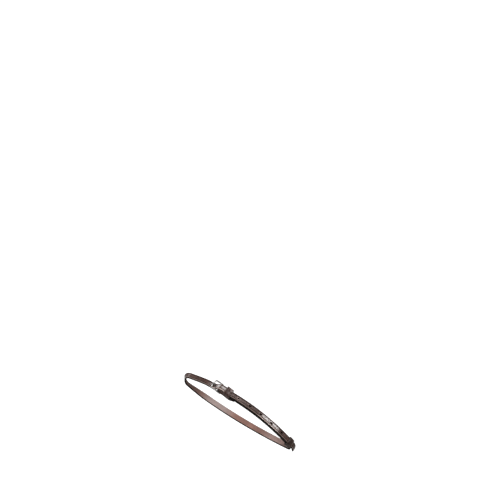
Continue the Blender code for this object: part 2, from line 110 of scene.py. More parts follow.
# Sides of the leather, 1 on the grain and -1 on the flesh, between which a finish fades or a corner is rubbed
# and painted lighter as a highlight
GRAIN_LEVELS = (0.5, 0.9)
FLESH_LEVELS = (-0.86, -0.96)
DYE_LEVELS = (0.84, 0.95)
CORNER_LEVEL = 0.86
CORNER_SHARPNESS = 7.0

# How far the patterns of both faces lie from the middle, and how deep the reliefs are, in metres
FACE_DEPTH = 0.01
EDGE_DEPTH = 0.003
FACE_RELIEF = 0.00012
EDGE_RELIEF = 0.00005
THREAD_RELIEF = 0.00008
SCRATCH_RELIEF = 0.0000025

# Looks of the wax, the thread, the steel and the two keepers
WAX_ROUGHNESS = 0.24
TWISTS_PER_METRE = 1600.0
THREAD_STRANDS = 2.0
SCRATCH_STRETCH = (1.0, 9.0, 2.0)
FRAME_ROUGHNESS = 0.27
TONGUE_ROUGHNESS = 0.30
# Share of worn colour on the keepers' corners and borders, which is partly a painted highlight
FIXED_WEAR_AND_HIGHLIGHT = 0.45
SLIDING_WEAR_AND_HIGHLIGHT = 0.35

# Light of the floor, the room and its ceiling, form and aim of the small lamps, and the camera's own sizes
FLOOR_WHITE = 0.86
FLOOR_GLOW = 1.45
FLOOR_GLOW_SHARE = 0.62
ROOM_LIGHT = 0.46
CEILING_LIGHT = 0.18
CEILING_HEIGHTS = (0.35, 0.62)
WIDE_SHEEN = 2.2
TALL_SHEEN = 2.0
SHEEN_HOLES_DEG = 14.5
SENSOR_MM = 36.0
CLIP_START = 0.01


def length(name, description, default):
    """Setting that is a length in metres."""
    return bpy.props.FloatProperty(
        name=name, description=description, default=default, subtype="DISTANCE", unit="LENGTH", precision=5)


def colour(name, description, default):
    """Setting that is a colour."""
    return bpy.props.FloatVectorProperty(
        name=name, description=description, default=default, subtype="COLOR", size=3, min=0.0, max=1.0)


class StrapSizes(bpy.types.PropertyGroup):
    """Sizes of the strap and of the loop that it makes."""

    width: length("Width", "Width across the grain side", 0.013)
    leather: length("Leather", "Thickness of the strap's leather", 0.003)
    edge_round: length("Edge rounding", "Radius of the rounded and dyed edges", 0.0008)
    layer_gap: length("Layer gap", "Gap between two layers that lie on each other", 0.0003)
    crease_inset: length("Crease inset", "From the edge to the middle of the pressed crease line", 0.0030)
    crease_width: length("Crease width", "Width of the pressed crease line", 0.0005)
    crease_depth: length("Crease depth", "Depth of the pressed crease line", 0.00022)
    near_radius: length("Near radius", "Inside radius of the buckled run", NEAR_RADIUS)
    far_radius: length("Far radius", "Radius of the far run", 0.733)
    loop_depth: length("Loop depth", "From the buckled run to the far run at the widest place", 0.0394)
    nose_bend_radius: length("Nose bend radius", "Radius of the bend at the nose end", 0.012)
    seat_length: length("Seat length", "Flat stretch where the strap is hung", 0.012)
    chin_bend_radius: length("Chin bend radius", "Radius of the bend at the chin end", 0.0032)
    nose_roll: bpy.props.FloatProperty(
        name="Nose roll", description="How far the strap is rolled about its own line at the nose bend",
        default=math.radians(32.0), subtype="ANGLE", unit="ROTATION")
    nose_roll_reach: length("Nose roll reach", "Stretch of the far run over which the roll eases out", 0.065)
    prong_hole_place: length(
        "Prong hole place", "Hole that the tongue is in, from the loop's widest place", -0.0464)
    hole_pitch: length("Hole pitch", "From one hole to the next", 0.0243)
    hole_count: bpy.props.IntProperty(name="Holes", description="Number of holes", default=7, min=1)
    hole_length: length("Hole length", "Length of an oval hole along the strap", 0.005)
    hole_width: length("Hole width", "Width of an oval hole across the strap", 0.0032)
    hole_rim: length("Hole rim", "Width of the pressed rim round a hole", 0.0008)
    tip_length: length("Tip length", "Strap past the sliding keeper", 0.0165)
    tip_bend_radius: length("Tip bend radius", "Radius that the tip curls to", 0.0115)
    tip_point_length: length("Tip point length", "Stretch over which the tip is drawn in", 0.0095)
    tip_blunt_width: length("Tip blunt width", "Width of the very end of the tip", 0.0012)
    turnback_end_place: length(
        "Turned end place", "End of the turned-back end, from the widest place", -0.0025)
    turnback_edge: length("Turned end edge", "Thickness of the skived end", 0.0012)
    turnback_skive: length("Turned end skive", "Stretch over which the end is pared thin", 0.008)


class BuckleSizes(bpy.types.PropertyGroup):
    """Sizes of the half buckle and its tongue."""

    heel_bar_place: length("Heel bar place", "Heel bar, from the loop's widest place", -0.035)
    bar_diameter: length("Bar diameter", "Diameter of the frame's wire", 0.0028)
    frame_length: length("Frame length", "From heel bar to front bar, middle to middle", 0.0168)
    inner_width: length("Inner width", "Clear width inside the frame", 0.018)
    corner_radius: length("Corner radius", "Radius of the frame's corners at the wire's middle", 0.0022)
    side_arch: length("Side arch", "How far the side rails arch up", 0.0009)
    bar_rise: length("Bar rise", "Heel bar's middle over the inside of the buckled run", BAR_RISE)
    bar_clearance: length("Bar clearance", "Gap between leather and wire", 0.0003)
    rise_reach: length("Rise reach", "Stretch over which the billet rises to the heel bar", 0.012)
    ease_reach: length("Ease reach", "Stretch over which the layers come down past the heel bar", 0.026)
    front_dip: length("Front dip", "How far the billet is pressed down under the front bar", 0.0012)
    front_dip_reach: length("Front dip reach", "Stretch over which the billet is pressed down", 0.013)
    tongue_diameter: length("Tongue diameter", "Diameter of the tongue's wire", 0.0019)
    tongue_tip_diameter: length("Tongue tip diameter", "Diameter of the tongue's end", 0.0012)
    tongue_overhang: length("Tongue overhang", "Tongue past the front bar's middle", 0.0026)
    slot_clearance: length("Slot clearance", "Gap beside the tongue in its slot", 0.0004)


class KeeperSizes(bpy.types.PropertyGroup):
    """Sizes of the fixed and the sliding keeper."""

    leather: length("Leather", "Thickness of the keepers' leather", 0.0018)
    clearance: length("Clearance", "Gap between keeper and strap", 0.0004)
    corner_radius: length("Corner radius", "Inside radius of a keeper's corners", 0.0012)
    edge_round: length("Edge rounding", "Radius of the keepers' edges", 0.0005)
    crease_inset: length("Crease inset", "From a keeper's edge to its crease line", 0.0014)
    crease_width: length("Crease width", "Width of the crease line", 0.0006)
    crease_depth: length("Crease depth", "Depth of the crease line", 0.00028)
    fixed_place: length("Fixed keeper place", "Middle of the fixed keeper, from the widest place", -0.0192)
    fixed_length: length("Fixed keeper length", "Length along the strap", 0.0125)
    fixed_slack: length("Fixed keeper slack", "Spare width on the far side", 0.0014)
    fixed_tab: length("Fixed keeper tab", "Thickness where its ends lie between the layers", 0.0012)
    fixed_tab_gap: length("Fixed keeper tab gap", "Gap between the two laid-in ends", 0.003)
    sliding_to_chin: length("Sliding keeper to chin", "Middle of the sliding keeper to the chin bend", 0.005)
    sliding_length: length("Sliding keeper length", "Length along the strap", 0.0105)
    seam_gap: length("Seam gap", "Gap where the sliding keeper's ends meet underneath", 0.0002)


class StitchSizes(bpy.types.PropertyGroup):
    """Sizes of the stitches in the turned-back end."""

    pitch: length("Pitch", "From one stitch to the next", 0.0029)
    stitch: length("Stitch", "Length of thread that shows in a stitch", 0.0023)
    thread: length("Thread", "Diameter of the thread", 0.0006)
    inset: length("Inset", "From the strap's edge to the row", 0.0024)
    end_margin: length("End margin", "From the skived end and from the fold to the first stitch", 0.0022)


class FinishColours(bpy.types.PropertyGroup):
    """Colours of the leather, the thread and the steel."""

    grain: colour("Grain", "Waxed grain side of the strap", (0.090, 0.047, 0.039))
    grain_dark: colour("Dark grain", "Darker mottling of the grain side", (0.039, 0.019, 0.014))
    # Worn grain, and the hole ring on the low border, also give the painted highlights on corners, borders
    # and worn stretches
    grain_worn: colour("Worn grain", "Rubbed corners and scuffs", (0.260, 0.185, 0.160))
    hole_ring: colour("Hole ring", "Bare leather round the used holes", (0.650, 0.490, 0.440))
    edge: colour("Edge", "Black dye on the edges", (0.0025, 0.002, 0.0015))
    flesh: colour("Flesh", "Reddish brown flesh side", (0.270, 0.148, 0.120))
    flesh_pale: colour("Pale flesh", "Rubbed patches of the flesh side", (0.360, 0.290, 0.275))
    flesh_dark: colour("Dark flesh", "Flesh side darkened by wear at the nose", (0.050, 0.030, 0.025))
    fixed_keeper: colour("Fixed keeper", "Leather of the fixed keeper", (0.078, 0.037, 0.030))
    sliding_keeper: colour("Sliding keeper", "Leather of the sliding keeper", (0.032, 0.014, 0.009))
    thread: colour("Thread", "Waxed brown thread", (0.150, 0.085, 0.055))
    # The crease colour also stands for painted shade in the pressed grooves
    crease: colour("Crease", "Pressed lines, darker where wax and dirt gather", (0.012, 0.006, 0.004))
    steel: colour("Steel", "Polished stainless wire", (0.22, 0.214, 0.208))
    # The tarnish colour also gives the painted shade on the wire's underside
    tarnish: colour("Tarnish", "Dull film in the wire's corners", (0.045, 0.041, 0.038))


class StageSettings(bpy.types.PropertyGroup):
    """Camera, floor and lamps."""

    camera_place: bpy.props.FloatVectorProperty(
        name="Camera place", description="Camera, from the centre of the buckled run's arc",
        default=(0.1555, -0.8279, 1.2453), size=3, subtype="XYZ", unit="LENGTH")
    camera_back: bpy.props.FloatVectorProperty(
        name="Camera back", description="Way from the scene to the camera", default=(0.2143, -0.7736, 0.5963),
        size=3, subtype="DIRECTION")
    camera_up: bpy.props.FloatVectorProperty(
        name="Camera up", description="Way that is up in the picture", default=(-0.4822, 0.4471, 0.7534),
        size=3, subtype="DIRECTION")
    lens: bpy.props.FloatProperty(
        name="Lens", description="Focal length on a 36 mm sensor", default=49.45, subtype="DISTANCE_CAMERA",
        unit="CAMERA")
    floor_drop: length("Floor drop", "From the strap's lowest place down to the floor", 0.26)
    floor_size: length("Floor size", "Side of the square floor", 14.0)
    lamp_distance: length("Lamp distance", "From the strap to the lamps", 1.5)
    key_size: length("Key size", "Side of the large soft lamp", 1.3)
    sheen_length: length("Sheen length", "Long side of the lamps that give the leather its sheen", 0.34)
    sheen_width: length("Sheen width", "Short side of those lamps", 0.20)


SETTINGS = {
    "strap_sizes": StrapSizes,
    "buckle_sizes": BuckleSizes,
    "keeper_sizes": KeeperSizes,
    "stitch_sizes": StitchSizes,
    "finish_colours": FinishColours,
    "stage_settings": StageSettings,
}


def on_arc(radius, angle, centre=Vector((0.0, 0.0))):
    """Point in the loop's plane, angle from straight out, positive towards the chin."""
    return centre + radius * Vector((math.sin(angle), math.cos(angle)))


def bump(distance, reach):
    """Smooth rise to 1 at distance 0 and back to 0 at the reach."""
    if abs(distance) >= reach:
        return 0.0
    return math.cos(math.pi / 2 * distance / reach) ** 2


def divided(start, end, count):
    """Values from start to end, both included, with count equal steps between them."""
    return [start + (end - start) * i / count for i in range(count + 1)]


def evenly(start, end, step):
    """Values from start to end, both included, about a step apart."""
    return divided(start, end, max(1, math.ceil(abs(end - start) / step)))


def interpolate(values, results, value):
    """Result at a value, read straight between the two nearest entries of a rising list."""
    i = min(max(bisect.bisect_right(values, value) - 1, 0), len(values) - 2)
    share = (value - values[i]) / (values[i + 1] - values[i])
    return results[i] + (results[i + 1] - results[i]) * min(max(share, 0.0), 1.0)


class Loop:
    """The strap's line in the loop's plane, worked out from the sizes of strap, buckle and keepers."""

    def __init__(self, scene):
        self.strap = scene.strap_sizes
        self.buckle = scene.buckle_sizes
        self.keepers = scene.keeper_sizes
        self.layer = self.strap.leather + self.strap.layer_gap
        self.inner_radius = self.strap.near_radius + self.strap.leather / 2
        self.billet_radius = self.inner_radius + self.layer
        self.far_radius = self.strap.far_radius + self.strap.leather / 2
        centre_distance = self.strap.near_radius + self.strap.far_radius - self.strap.loop_depth
        self.far_centre = Vector((0.0, centre_distance))
        self.bar_radius = self.buckle.bar_diameter / 2
        self.fold_radius = self.bar_radius + self.buckle.bar_clearance + self.strap.leather / 2
        self.nose_angle = self.bend_angle(
            self.billet_radius, self.strap.nose_bend_radius, self.strap.seat_length)
        self.chin_angle = self.bend_angle(self.inner_radius, self.strap.chin_bend_radius, 0.0)
        self.sliding_place = self.chin_angle * self.billet_radius - self.keepers.sliding_to_chin
        front_place = self.buckle.heel_bar_place - self.buckle.frame_length
        over_billet = self.strap.leather + self.buckle.bar_clearance + self.bar_radius
        self.front_bar_height = self.billet_underside(front_place) + over_billet

    def bend_angle(self, near_radius, bend_radius, straight):
        """How far round the near arc it ends, when a straight and a small bend join it to the far arc."""
        arm = near_radius - bend_radius
        reach = self.far_radius - bend_radius
        distance = self.far_centre.y
        level = (arm ** 2 + straight ** 2 + distance ** 2 - reach ** 2) / (2 * distance)
        return math.acos(level / math.hypot(arm, straight)) - math.atan2(straight, arm)

    def turn(self, place):
        """Angle round the near arc's centre of a place along the billet."""
        return place / self.billet_radius

    def fold_rise(self, place):
        """How far the layers are lifted over the folded end."""
        past_bar = place - self.buckle.heel_bar_place
        reach = self.buckle.ease_reach if past_bar > 0 else self.buckle.rise_reach
        height = self.buckle.bar_rise + self.bar_radius + self.buckle.bar_clearance
        return height * bump(past_bar, reach)

    def front_dip(self, place):
        """How far the billet is pressed down under the front bar."""
        front_place = self.buckle.heel_bar_place - self.buckle.frame_length
        return self.buckle.front_dip * bump(place - front_place, self.buckle.front_dip_reach)

    def billet_point(self, place):
        """Place in the middle of the billet's leather."""
        lifted = self.billet_radius + self.fold_rise(place) - self.front_dip(place)
        return on_arc(lifted, self.turn(place))

    def billet_underside(self, place):
        """Height of the billet's underside over the heel bar's middle."""
        ahead = place - self.buckle.heel_bar_place
        fall = self.billet_radius - math.sqrt(self.billet_radius ** 2 - ahead ** 2)
        return self.layer - self.buckle.bar_rise + self.fold_rise(place) - self.front_dip(place) - fall

    def turnback_line(self):
        """Line and thickness of the turned-back end, from its skived edge to the heel bar."""
        strap, keepers, bar_place = self.strap, self.keepers, self.buckle.heel_bar_place
        keeper_end = keepers.fixed_place + keepers.fixed_length / 2
        edge_offset = -(strap.layer_gap + strap.turnback_edge / 2)
        tab_offset = -(2 * strap.layer_gap + keepers.fixed_tab + strap.leather / 2)
        line = []
        for place in evenly(strap.turnback_end_place, bar_place, PATH_STEP):
            from_end = strap.turnback_end_place - place
            skive = min(1.0, from_end / strap.turnback_skive)
            thickness = strap.turnback_edge + (strap.leather - strap.turnback_edge) * skive
            laid = min(1.0, from_end / (strap.turnback_end_place - keeper_end))
            under_tab = tab_offset + (strap.leather - thickness) / 2
            offset = edge_offset + (under_tab - edge_offset) * laid + self.fold_rise(place)
            at_bar = bump(place - bar_place, self.buckle.rise_reach / 2)
            offset += (self.buckle.bar_rise - self.fold_radius - offset) * at_bar
            line.append((on_arc(strap.near_radius + offset, self.turn(place)), thickness))
        return line

    def arc_line(self, centre, radius, start, end, count):
        """Line round an arc at the leather's full thickness, its first point left out."""
        angles = divided(start, end, count)[1:]
        return [(on_arc(radius, angle, centre), self.strap.leather) for angle in angles]

    def inner_layer_line(self):
        """Under layer of the buckled run, from the heel bar to the chin bend."""
        end = self.chin_angle * self.billet_radius
        line = []
        for place in evenly(self.buckle.heel_bar_place, end, PATH_STEP):
            lifted = self.inner_radius + self.fold_rise(place)
            line.append((on_arc(lifted, self.turn(place)), self.strap.leather))
        return line

    def billet_line(self):
        """Outer layer, from the flat seat past the buckle and both keepers to the tip."""
        tip_start = self.sliding_place + self.keepers.sliding_length / 2
        places = evenly(-self.nose_angle * self.billet_radius, tip_start, PATH_STEP)
        line = [(self.billet_point(place), self.strap.leather) for place in places]
        start = self.turn(tip_start)
        centre = on_arc(self.billet_radius - self.strap.tip_bend_radius, start)
        tip_turn = self.strap.tip_length / self.strap.tip_bend_radius
        return line + self.arc_line(centre, self.strap.tip_bend_radius, start, start + tip_turn, BEND_STEPS)

    def ribbon(self):
        """The whole strap as one ribbon, with the distances along it where its stretches end."""
        strap = self.strap
        bar_turn = self.turn(self.buckle.heel_bar_place)
        bar = on_arc(strap.near_radius + self.buckle.bar_rise, bar_turn)
        chin = on_arc(self.inner_radius - strap.chin_bend_radius, self.chin_angle)
        chin_end = math.atan2(*(chin - self.far_centre))
        seat_way = Vector((-math.cos(self.nose_angle), -math.sin(self.nose_angle)))
        seat_end = on_arc(self.billet_radius, -self.nose_angle) + seat_way * strap.seat_length
        inward = Vector((-math.sin(self.nose_angle), math.cos(self.nose_angle)))
        nose = seat_end - strap.nose_bend_radius * inward
        nose_start = math.atan2(*(nose - self.far_centre)) + 2 * math.pi
        nose_end = 2 * math.pi - self.nose_angle
        far_steps = math.ceil(self.far_radius * (nose_start - chin_end) / PATH_STEP)
        stretches = {
            "turnback": self.turnback_line(),
            "fold": self.arc_line(bar, self.fold_radius, bar_turn - math.pi, bar_turn, BEND_STEPS)[:-1],
            "inner": self.inner_layer_line(),
            "chin": self.arc_line(chin, strap.chin_bend_radius, self.chin_angle, chin_end, BEND_STEPS),
            "far": self.arc_line(self.far_centre, self.far_radius, chin_end, nose_start, far_steps),
            "nose": self.arc_line(nose, strap.nose_bend_radius, nose_start, nose_end, BEND_STEPS),
            "billet": self.billet_line(),
        }
        line = []
        counts = {}
        for name, stretch in stretches.items():
            line += stretch
            counts[name] = len(line) - 1
        ribbon = Ribbon(line, lay_in_loop)
        ribbon.ends = {name: ribbon.at[count] for name, count in counts.items()}
        half_bend = strap.nose_bend_radius * (nose_end - nose_start) / 2
        ribbon.roll_middle = ribbon.ends["nose"] - half_bend
        ribbon.roll_reaches = (strap.nose_roll_reach, half_bend)
        ribbon.roll_angle = strap.nose_roll
        return ribbon


def lay_in_loop(point, across):
    """World point of a place in the loop's plane and a distance across it."""
    return RUN_CENTRE + Vector((point.x, across, point.y))


class Ribbon:
    """A strip of leather measured along itself, so that its details are laid out flat and then bent."""

    def __init__(self, line, lay):
        self.points = [point for point, _ in line]
        self.thicknesses = [thickness for _, thickness in line]
        self.lay = lay
        self.roll_angle = 0.0
        self.at = [0.0]
        self.normals = []
        for i, point in enumerate(self.points):
            before = self.points[max(i - 1, 0)]
            after = self.points[min(i + 1, len(self.points) - 1)]
            way = (after - before).normalized()
            self.normals.append(Vector((-way.y, way.x)))
            if i > 0:
                self.at.append(self.at[-1] + (point - self.points[i - 1]).length)
        self.length = self.at[-1]
        self.rings = [0.0]
        for i in range(1, len(self.points)):
            bent = self.normals[i - 1].angle(self.normals[i])
            step = self.at[i] - self.at[i - 1]
            self.rings.append(self.rings[-1] + max(step / RING_STEP, bent / RING_TURN))

    def roll(self, along):
        """How far the strip is rolled about its own line."""
        if self.roll_angle == 0.0:
            return 0.0
        before_middle = self.roll_middle - along
        reach = self.roll_reaches[0] if before_middle > 0 else self.roll_reaches[1]
        return self.roll_angle * bump(before_middle, reach)

    def place(self, along, across, height):
        """World point at a distance along, across and out from the strip's middle."""
        point = interpolate(self.at, self.points, along)
        normal = interpolate(self.at, self.normals, along).normalized()
        angle = self.roll(along)
        out = height * math.cos(angle) + across * math.sin(angle)
        aside = across * math.cos(angle) - height * math.sin(angle)
        return self.lay(point + normal * out, aside)

    def thickness_at(self, along):
        """Thickness of the leather at a distance along."""
        return interpolate(self.at, self.thicknesses, along)

    def spread(self, start, end):
        """Distances from start to end, both included, closer together where the leather bends tightly."""
        first = interpolate(self.at, self.rings, start)
        last = interpolate(self.at, self.rings, end)
        counts = divided(first, last, max(1, math.ceil(last - first)))
        return [interpolate(self.rings, self.at, count) for count in counts]

    def nearest(self, point, start):
        """Distance along, past a start, of the line's nearest place to a point in its plane."""
        best = None
        for i in range(bisect.bisect_left(self.at, start), len(self.points) - 1):
            span = self.points[i + 1] - self.points[i]
            share = min(max((point - self.points[i]).dot(span) / span.length_squared, 0.0), 1.0)
            away = (self.points[i] + span * share - point).length
            if best is None or away < best[0]:
                best = (away, self.at[i] + share * span.length)
        return best[1]


class Section:
    """Columns round a strip's cross-section: grain side, one edge, flesh side and the other edge."""

    def __init__(self, half_width, edge_round, crease_inset, crease_width, crease_depth, inner):
        self.half_width = half_width
        self.edge_round = edge_round
        self.crease_depth = crease_depth
        self.crease = half_width - crease_inset
        shoulder = half_width - edge_round
        lips = (self.crease + crease_width / 2, self.crease, self.crease - crease_width / 2)
        between = (lips[2] + inner[0]) / 2
        grain = [shoulder, *lips, between, *inner]
        flesh = [shoulder, between, *inner]
        self.grain = grain + [0.0] + [-across for across in reversed(grain)]
        self.flesh = [-across for across in flesh] + [0.0] + list(reversed(flesh))
        middle = len(grain)
        turns = 2 * len(EDGE_SIDES)
        under = len(self.grain) + turns + len(flesh)
        first_edge = len(self.grain)
        second_edge = first_edge + turns + len(self.flesh)
        self.edge_columns = {start + i for start in (first_edge, second_edge) for i in range(turns - 1)}
        reach = len(inner)
        self.patch_columns = list(range(middle - reach, middle + reach + 1))
        self.under_columns = list(range(under + reach, under - reach - 1, -1))

    def edge(self, direction, thickness, rounding):
        """Rounded edge, as (across, height, side), going down on one side and up on the other."""
        rows = []
        for degrees, side in zip(EDGE_TURNS_DEG, EDGE_SIDES):
            turned = math.radians(degrees)
            across = self.half_width - rounding + rounding * math.cos(turned)
            height = thickness / 2 - rounding + rounding * math.sin(turned)
            rows.append((across * direction, height, side))
        rows += [(across, -height, -side) for across, height, side in reversed(rows)]
        return rows if direction < 0 else list(reversed(rows))

    def columns(self, thickness):
        """Each column as (across, height, side), side running from 1 on the grain to -1 on the flesh."""
        rounding = min(self.edge_round, thickness * ROUNDING_LIMIT_SHARE)
        rows = []
        for across in self.grain:
            sunk = self.crease_depth if abs(across) == self.crease else 0.0
            rows.append((across, thickness / 2 - sunk, 1.0))
        rows += self.edge(-1, thickness, rounding)
        rows += [(across, -thickness / 2, -1.0) for across in self.flesh]
        rows += self.edge(1, thickness, rounding)
        return rows


def join_rings(mesh, near, far):
    """Faces between two closed rings of corners."""
    faces = []
    for k in range(len(near)):
        j = (k + 1) % len(near)
        faces.append(mesh.faces.new((near[k], near[j], far[j], far[k])))
    return faces


class StripMesh:
    """Mesh of a strip, each corner carrying where it lies along, across and through the leather."""

    def __init__(self, ribbon, section):
        self.ribbon = ribbon
        self.section = section
        self.mesh = bmesh.new()
        names = ("along", "across", "side", "rim")
        self.layers = {name: self.mesh.verts.layers.float.new(name) for name in names}
        self.rings = []
        self.left_open = set()

    def corner(self, along, across, height, side, rim=1.0):
        """Corner of the mesh. Rim is 1 on whole leather and falls to 0 in a hole."""
        vertex = self.mesh.verts.new(self.ribbon.place(along, across, height))
        for name, value in (("along", along), ("across", across), ("side", side), ("rim", rim)):
            vertex[self.layers[name]] = value
        return vertex

    def add_rings(self, stations, width_share=lambda along: 1.0):
        """Rings of corners round the section, one at each distance along."""
        for along in stations:
            narrow = width_share(along)
            ring = []
            for across, height, side in self.section.columns(self.ribbon.thickness_at(along)):
                ring.append(self.corner(along, across * narrow, height, side))
            self.rings.append(ring)

    def leave_open(self, first, last, columns):
        """Leaves out the faces between two rings and a run of columns."""
        for i in range(first, last):
            for near, far in zip(columns, columns[1:]):
                self.left_open.add((i, min(near, far)))

    def border(self, first, last, columns):
        """Corners round an opening, in order."""
        rows = self.rings
        corners = [rows[i][columns[0]] for i in range(first, last)]
        corners += [rows[last][k] for k in columns[:-1]]
        corners += [rows[i][columns[-1]] for i in range(last, first, -1)]
        corners += [rows[first][k] for k in reversed(columns[1:])]
        return corners

    def join(self, first, second, dyed=False):
        """Faces between two closed runs of corners, in the edge's finish where they are dyed."""
        for face in join_rings(self.mesh, first, second):
            face.material_index = int(dyed)

    def skin(self):
        """Faces between all rings but where it is left open, and on both ends. Unused corners go."""
        count = len(self.rings[0])
        for i, (near, far) in enumerate(zip(self.rings, self.rings[1:])):
            for k in range(count):
                if (i, k) in self.left_open:
                    continue
                j = (k + 1) % count
                face = self.mesh.faces.new((near[k], near[j], far[j], far[k]))
                face.material_index = int(k in self.section.edge_columns)
        for ring in (self.rings[0], self.rings[-1]):
            self.mesh.faces.new(ring).material_index = 1
        stray = [vertex for vertex in self.mesh.verts if not vertex.link_faces]
        bmesh.ops.delete(self.mesh, geom=stray, context="VERTS")

    def finish(self, name, materials):
        """Piece made of the strip, its first material on the faces and its second on the edges."""
        self.skin()
        return finish_piece(self.mesh, name, materials, LEATHER_SMOOTH_DEG)


def finish_piece(mesh, name, materials, smooth_deg):
    """Object of a mesh, shaded smooth below an angle."""
    bmesh.ops.recalc_face_normals(mesh, faces=mesh.faces)
    data = bpy.data.meshes.new(name)
    mesh.to_mesh(data)
    mesh.free()
    for material in materials:
        data.materials.append(material)
    data.shade_smooth()
    data.set_sharp_from_angle(angle=math.radians(smooth_deg))
    piece = bpy.data.objects.new(name, data)
    bpy.context.scene.collection.objects.link(piece)
    return piece


def punch_hole(strip, first, last, centre, strap):
    """Oval hole with a pressed rim, between two rings of the strip."""
    columns = strip.section.patch_columns
    under = strip.section.under_columns
    strip.leave_open(first, last, columns)
    strip.leave_open(first, last, under)
    top = strip.border(first, last, columns)
    bottom = strip.border(first, last, under)
    along_layer, across_layer = strip.layers["along"], strip.layers["across"]
    half_patch = strip.rings[last][0][along_layer] - centre
    wide_patch = abs(top[0][across_layer])
    half = strap.leather / 2
    rim = strap.hole_rim
    turns = []
    for vertex in top:
        ahead = (vertex[along_layer] - centre) / half_patch
        turns.append(math.atan2(vertex[across_layer] / wide_patch, ahead))
    # Growth of the outline, height, side and rim mark of each row, from the grain down through the leather
    rows = [
        (1.2 * rim, half, 1.0, 0.9),
        (rim, half, 1.0, 0.6),
        (rim / 2, half - rim / 16, 1.0, 0.3),
        (rim / 6, half - rim / 5, 1.0, 0.1),
        (0.0, half - rim * 0.6, 0.3, 0.0),
        (0.0, rim / 2 - half, -0.3, 0.0),
        (rim / 4, -half, -1.0, 0.3),
    ]
    wall_rows = (4, 5)
    loops = [top]
    for grow, height, side, mark in rows:
        loop = []
        for turned in turns:
            cos, sin = math.cos(turned), math.sin(turned)
            ahead = math.copysign(abs(cos) ** OVAL_POWER, cos) * (strap.hole_length / 2 + grow)
            aside = math.copysign(abs(sin) ** OVAL_POWER, sin) * (strap.hole_width / 2 + grow)
            loop.append(strip.corner(centre + ahead, aside, height, side, mark))
        loops.append(loop)
    loops.append(bottom)
    for row, (near, far) in enumerate(zip(loops, loops[1:])):
        strip.join(near, far, dyed=row in wall_rows)


def cut_slot(strip, first, last):
    """Slot through the fold for the tongue, with its four walls."""
    columns = strip.section.patch_columns[1:-1]
    under = strip.section.under_columns[1:-1]
    strip.leave_open(first, last, columns)
    strip.leave_open(first, last, under)
    strip.join(strip.border(first, last, columns), strip.border(first, last, under), dyed=True)


def make_strap(scene):
    """The whole strap, with its holes, its slot and its point."""
    loop = Loop(scene)
    strap, buckle = scene.strap_sizes, scene.buckle_sizes
    ribbon = loop.ribbon()
    half_slot = buckle.tongue_diameter / 2 + buckle.slot_clearance
    section = Section(
        strap.width / 2, strap.edge_round, strap.crease_inset, strap.crease_width, strap.crease_depth,
        (2 * half_slot, half_slot))
    strip = StripMesh(ribbon, section)
    half_patch = strap.hole_length / 2 + 2 * strap.hole_rim
    centres = []
    for i in range(strap.hole_count):
        point = loop.billet_point(strap.prong_hole_place + i * strap.hole_pitch)
        centres.append(ribbon.nearest(point, ribbon.ends["nose"]))
    slot = (ribbon.ends["turnback"] - strap.leather, ribbon.ends["fold"] + strap.leather)
    point_start = ribbon.length - strap.tip_point_length
    stations = ribbon.spread(0.0, slot[0])
    slot_rings = [len(stations) - 1]
    stations += ribbon.spread(*slot)[1:]
    slot_rings.append(len(stations) - 1)
    hole_rings = []
    for centre in centres:
        stations += ribbon.spread(stations[-1], centre - half_patch)[1:]
        hole_rings.append(len(stations) - 1)
        stations += [centre + half_patch * (2 * i / HOLE_RINGS - 1) for i in range(1, HOLE_RINGS + 1)]
    stations += ribbon.spread(stations[-1], point_start)[1:]
    for i in range(1, TIP_RINGS + 1):
        stations.append(point_start + strap.tip_point_length * math.sin(math.pi / 2 * i / TIP_RINGS))

    def width_share(along):
        if along <= point_start:
            return 1.0
        share = ((along - point_start) / strap.tip_point_length) ** TIP_LONG_POWER
        return max(strap.tip_blunt_width / strap.width, max(0.0, 1 - share) ** TIP_ROUND_POWER)

    strip.add_rings(stations, width_share)
    cut_slot(strip, *slot_rings)
    for first, centre in zip(hole_rings, centres):
        punch_hole(strip, first, first + HOLE_RINGS, centre, strap)
    marks = {
        **ribbon.ends, "prong": centres[0], "free_hole": centres[2], "sheen": centres[5],
        "tip": ribbon.length, "pitch": strap.hole_pitch}
    materials = [strap_material(scene, marks, section.crease), edge_material(scene, marks)]
    dress(strip.finish("leather_strap", materials), "strap", "strap_leather", "strap")


def dress(piece, body, slot, *nodes):
    """Lets a piece ride on its body and stand for its nodes. The slot is not used."""
    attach(piece, body)
    if nodes:
        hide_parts(*nodes)


def add_stitch(mesh, ribbon, stitches, centre, across):
    """One stitch of thread, its ends dipping into the leather."""
    layers = mesh.verts.layers.float
    radius = stitches.thread / 2
    rings = []
    for k in range(STITCH_RINGS):
        share = 2 * k / (STITCH_RINGS - 1) - 1
        along = centre + share * stitches.stitch / 2
        lift = STITCH_RISE_SHARE - STITCH_DIVE_SHARE * share ** STITCH_DIVE_POWER
        height = ribbon.thickness_at(along) / 2 + radius * lift
        ring = []
        for j in range(STITCH_SIDES):
            angle = 2 * math.pi * j / STITCH_SIDES - math.pi / 2
            aside = across + radius * math.cos(angle)
            vertex = mesh.verts.new(ribbon.place(along, aside, height + radius * math.sin(angle)))
            vertex[layers["around"]] = j / STITCH_SIDES
            vertex[layers["along"]] = along
            ring.append(vertex)
        rings.append(ring)
    mesh.faces.new(rings[0])
    for near, far in zip(rings, rings[1:]):
        join_rings(mesh, near, far)
    mesh.faces.new(rings[-1])


def make_stitches(scene):
    """Two rows of thread through the turned-back end."""
    ribbon = Loop(scene).ribbon()
    strap, stitches = scene.strap_sizes, scene.stitch_sizes
    mesh = bmesh.new()
    for name in ("around", "along"):
        mesh.verts.layers.float.new(name)
    last = ribbon.ends["turnback"] - strap.leather - stitches.end_margin
    count = int((last - stitches.end_margin) / stitches.pitch)
    row = strap.width / 2 - stitches.inset
    for across in (row, -row):
        for i in range(count + 1):
            add_stitch(mesh, ribbon, stitches, stitches.end_margin + i * stitches.pitch, across)
    piece = finish_piece(mesh, "turnback_stitches", [thread_material(scene)], ROUND_SMOOTH_DEG)
    dress(piece, "strap", "strap_leather")


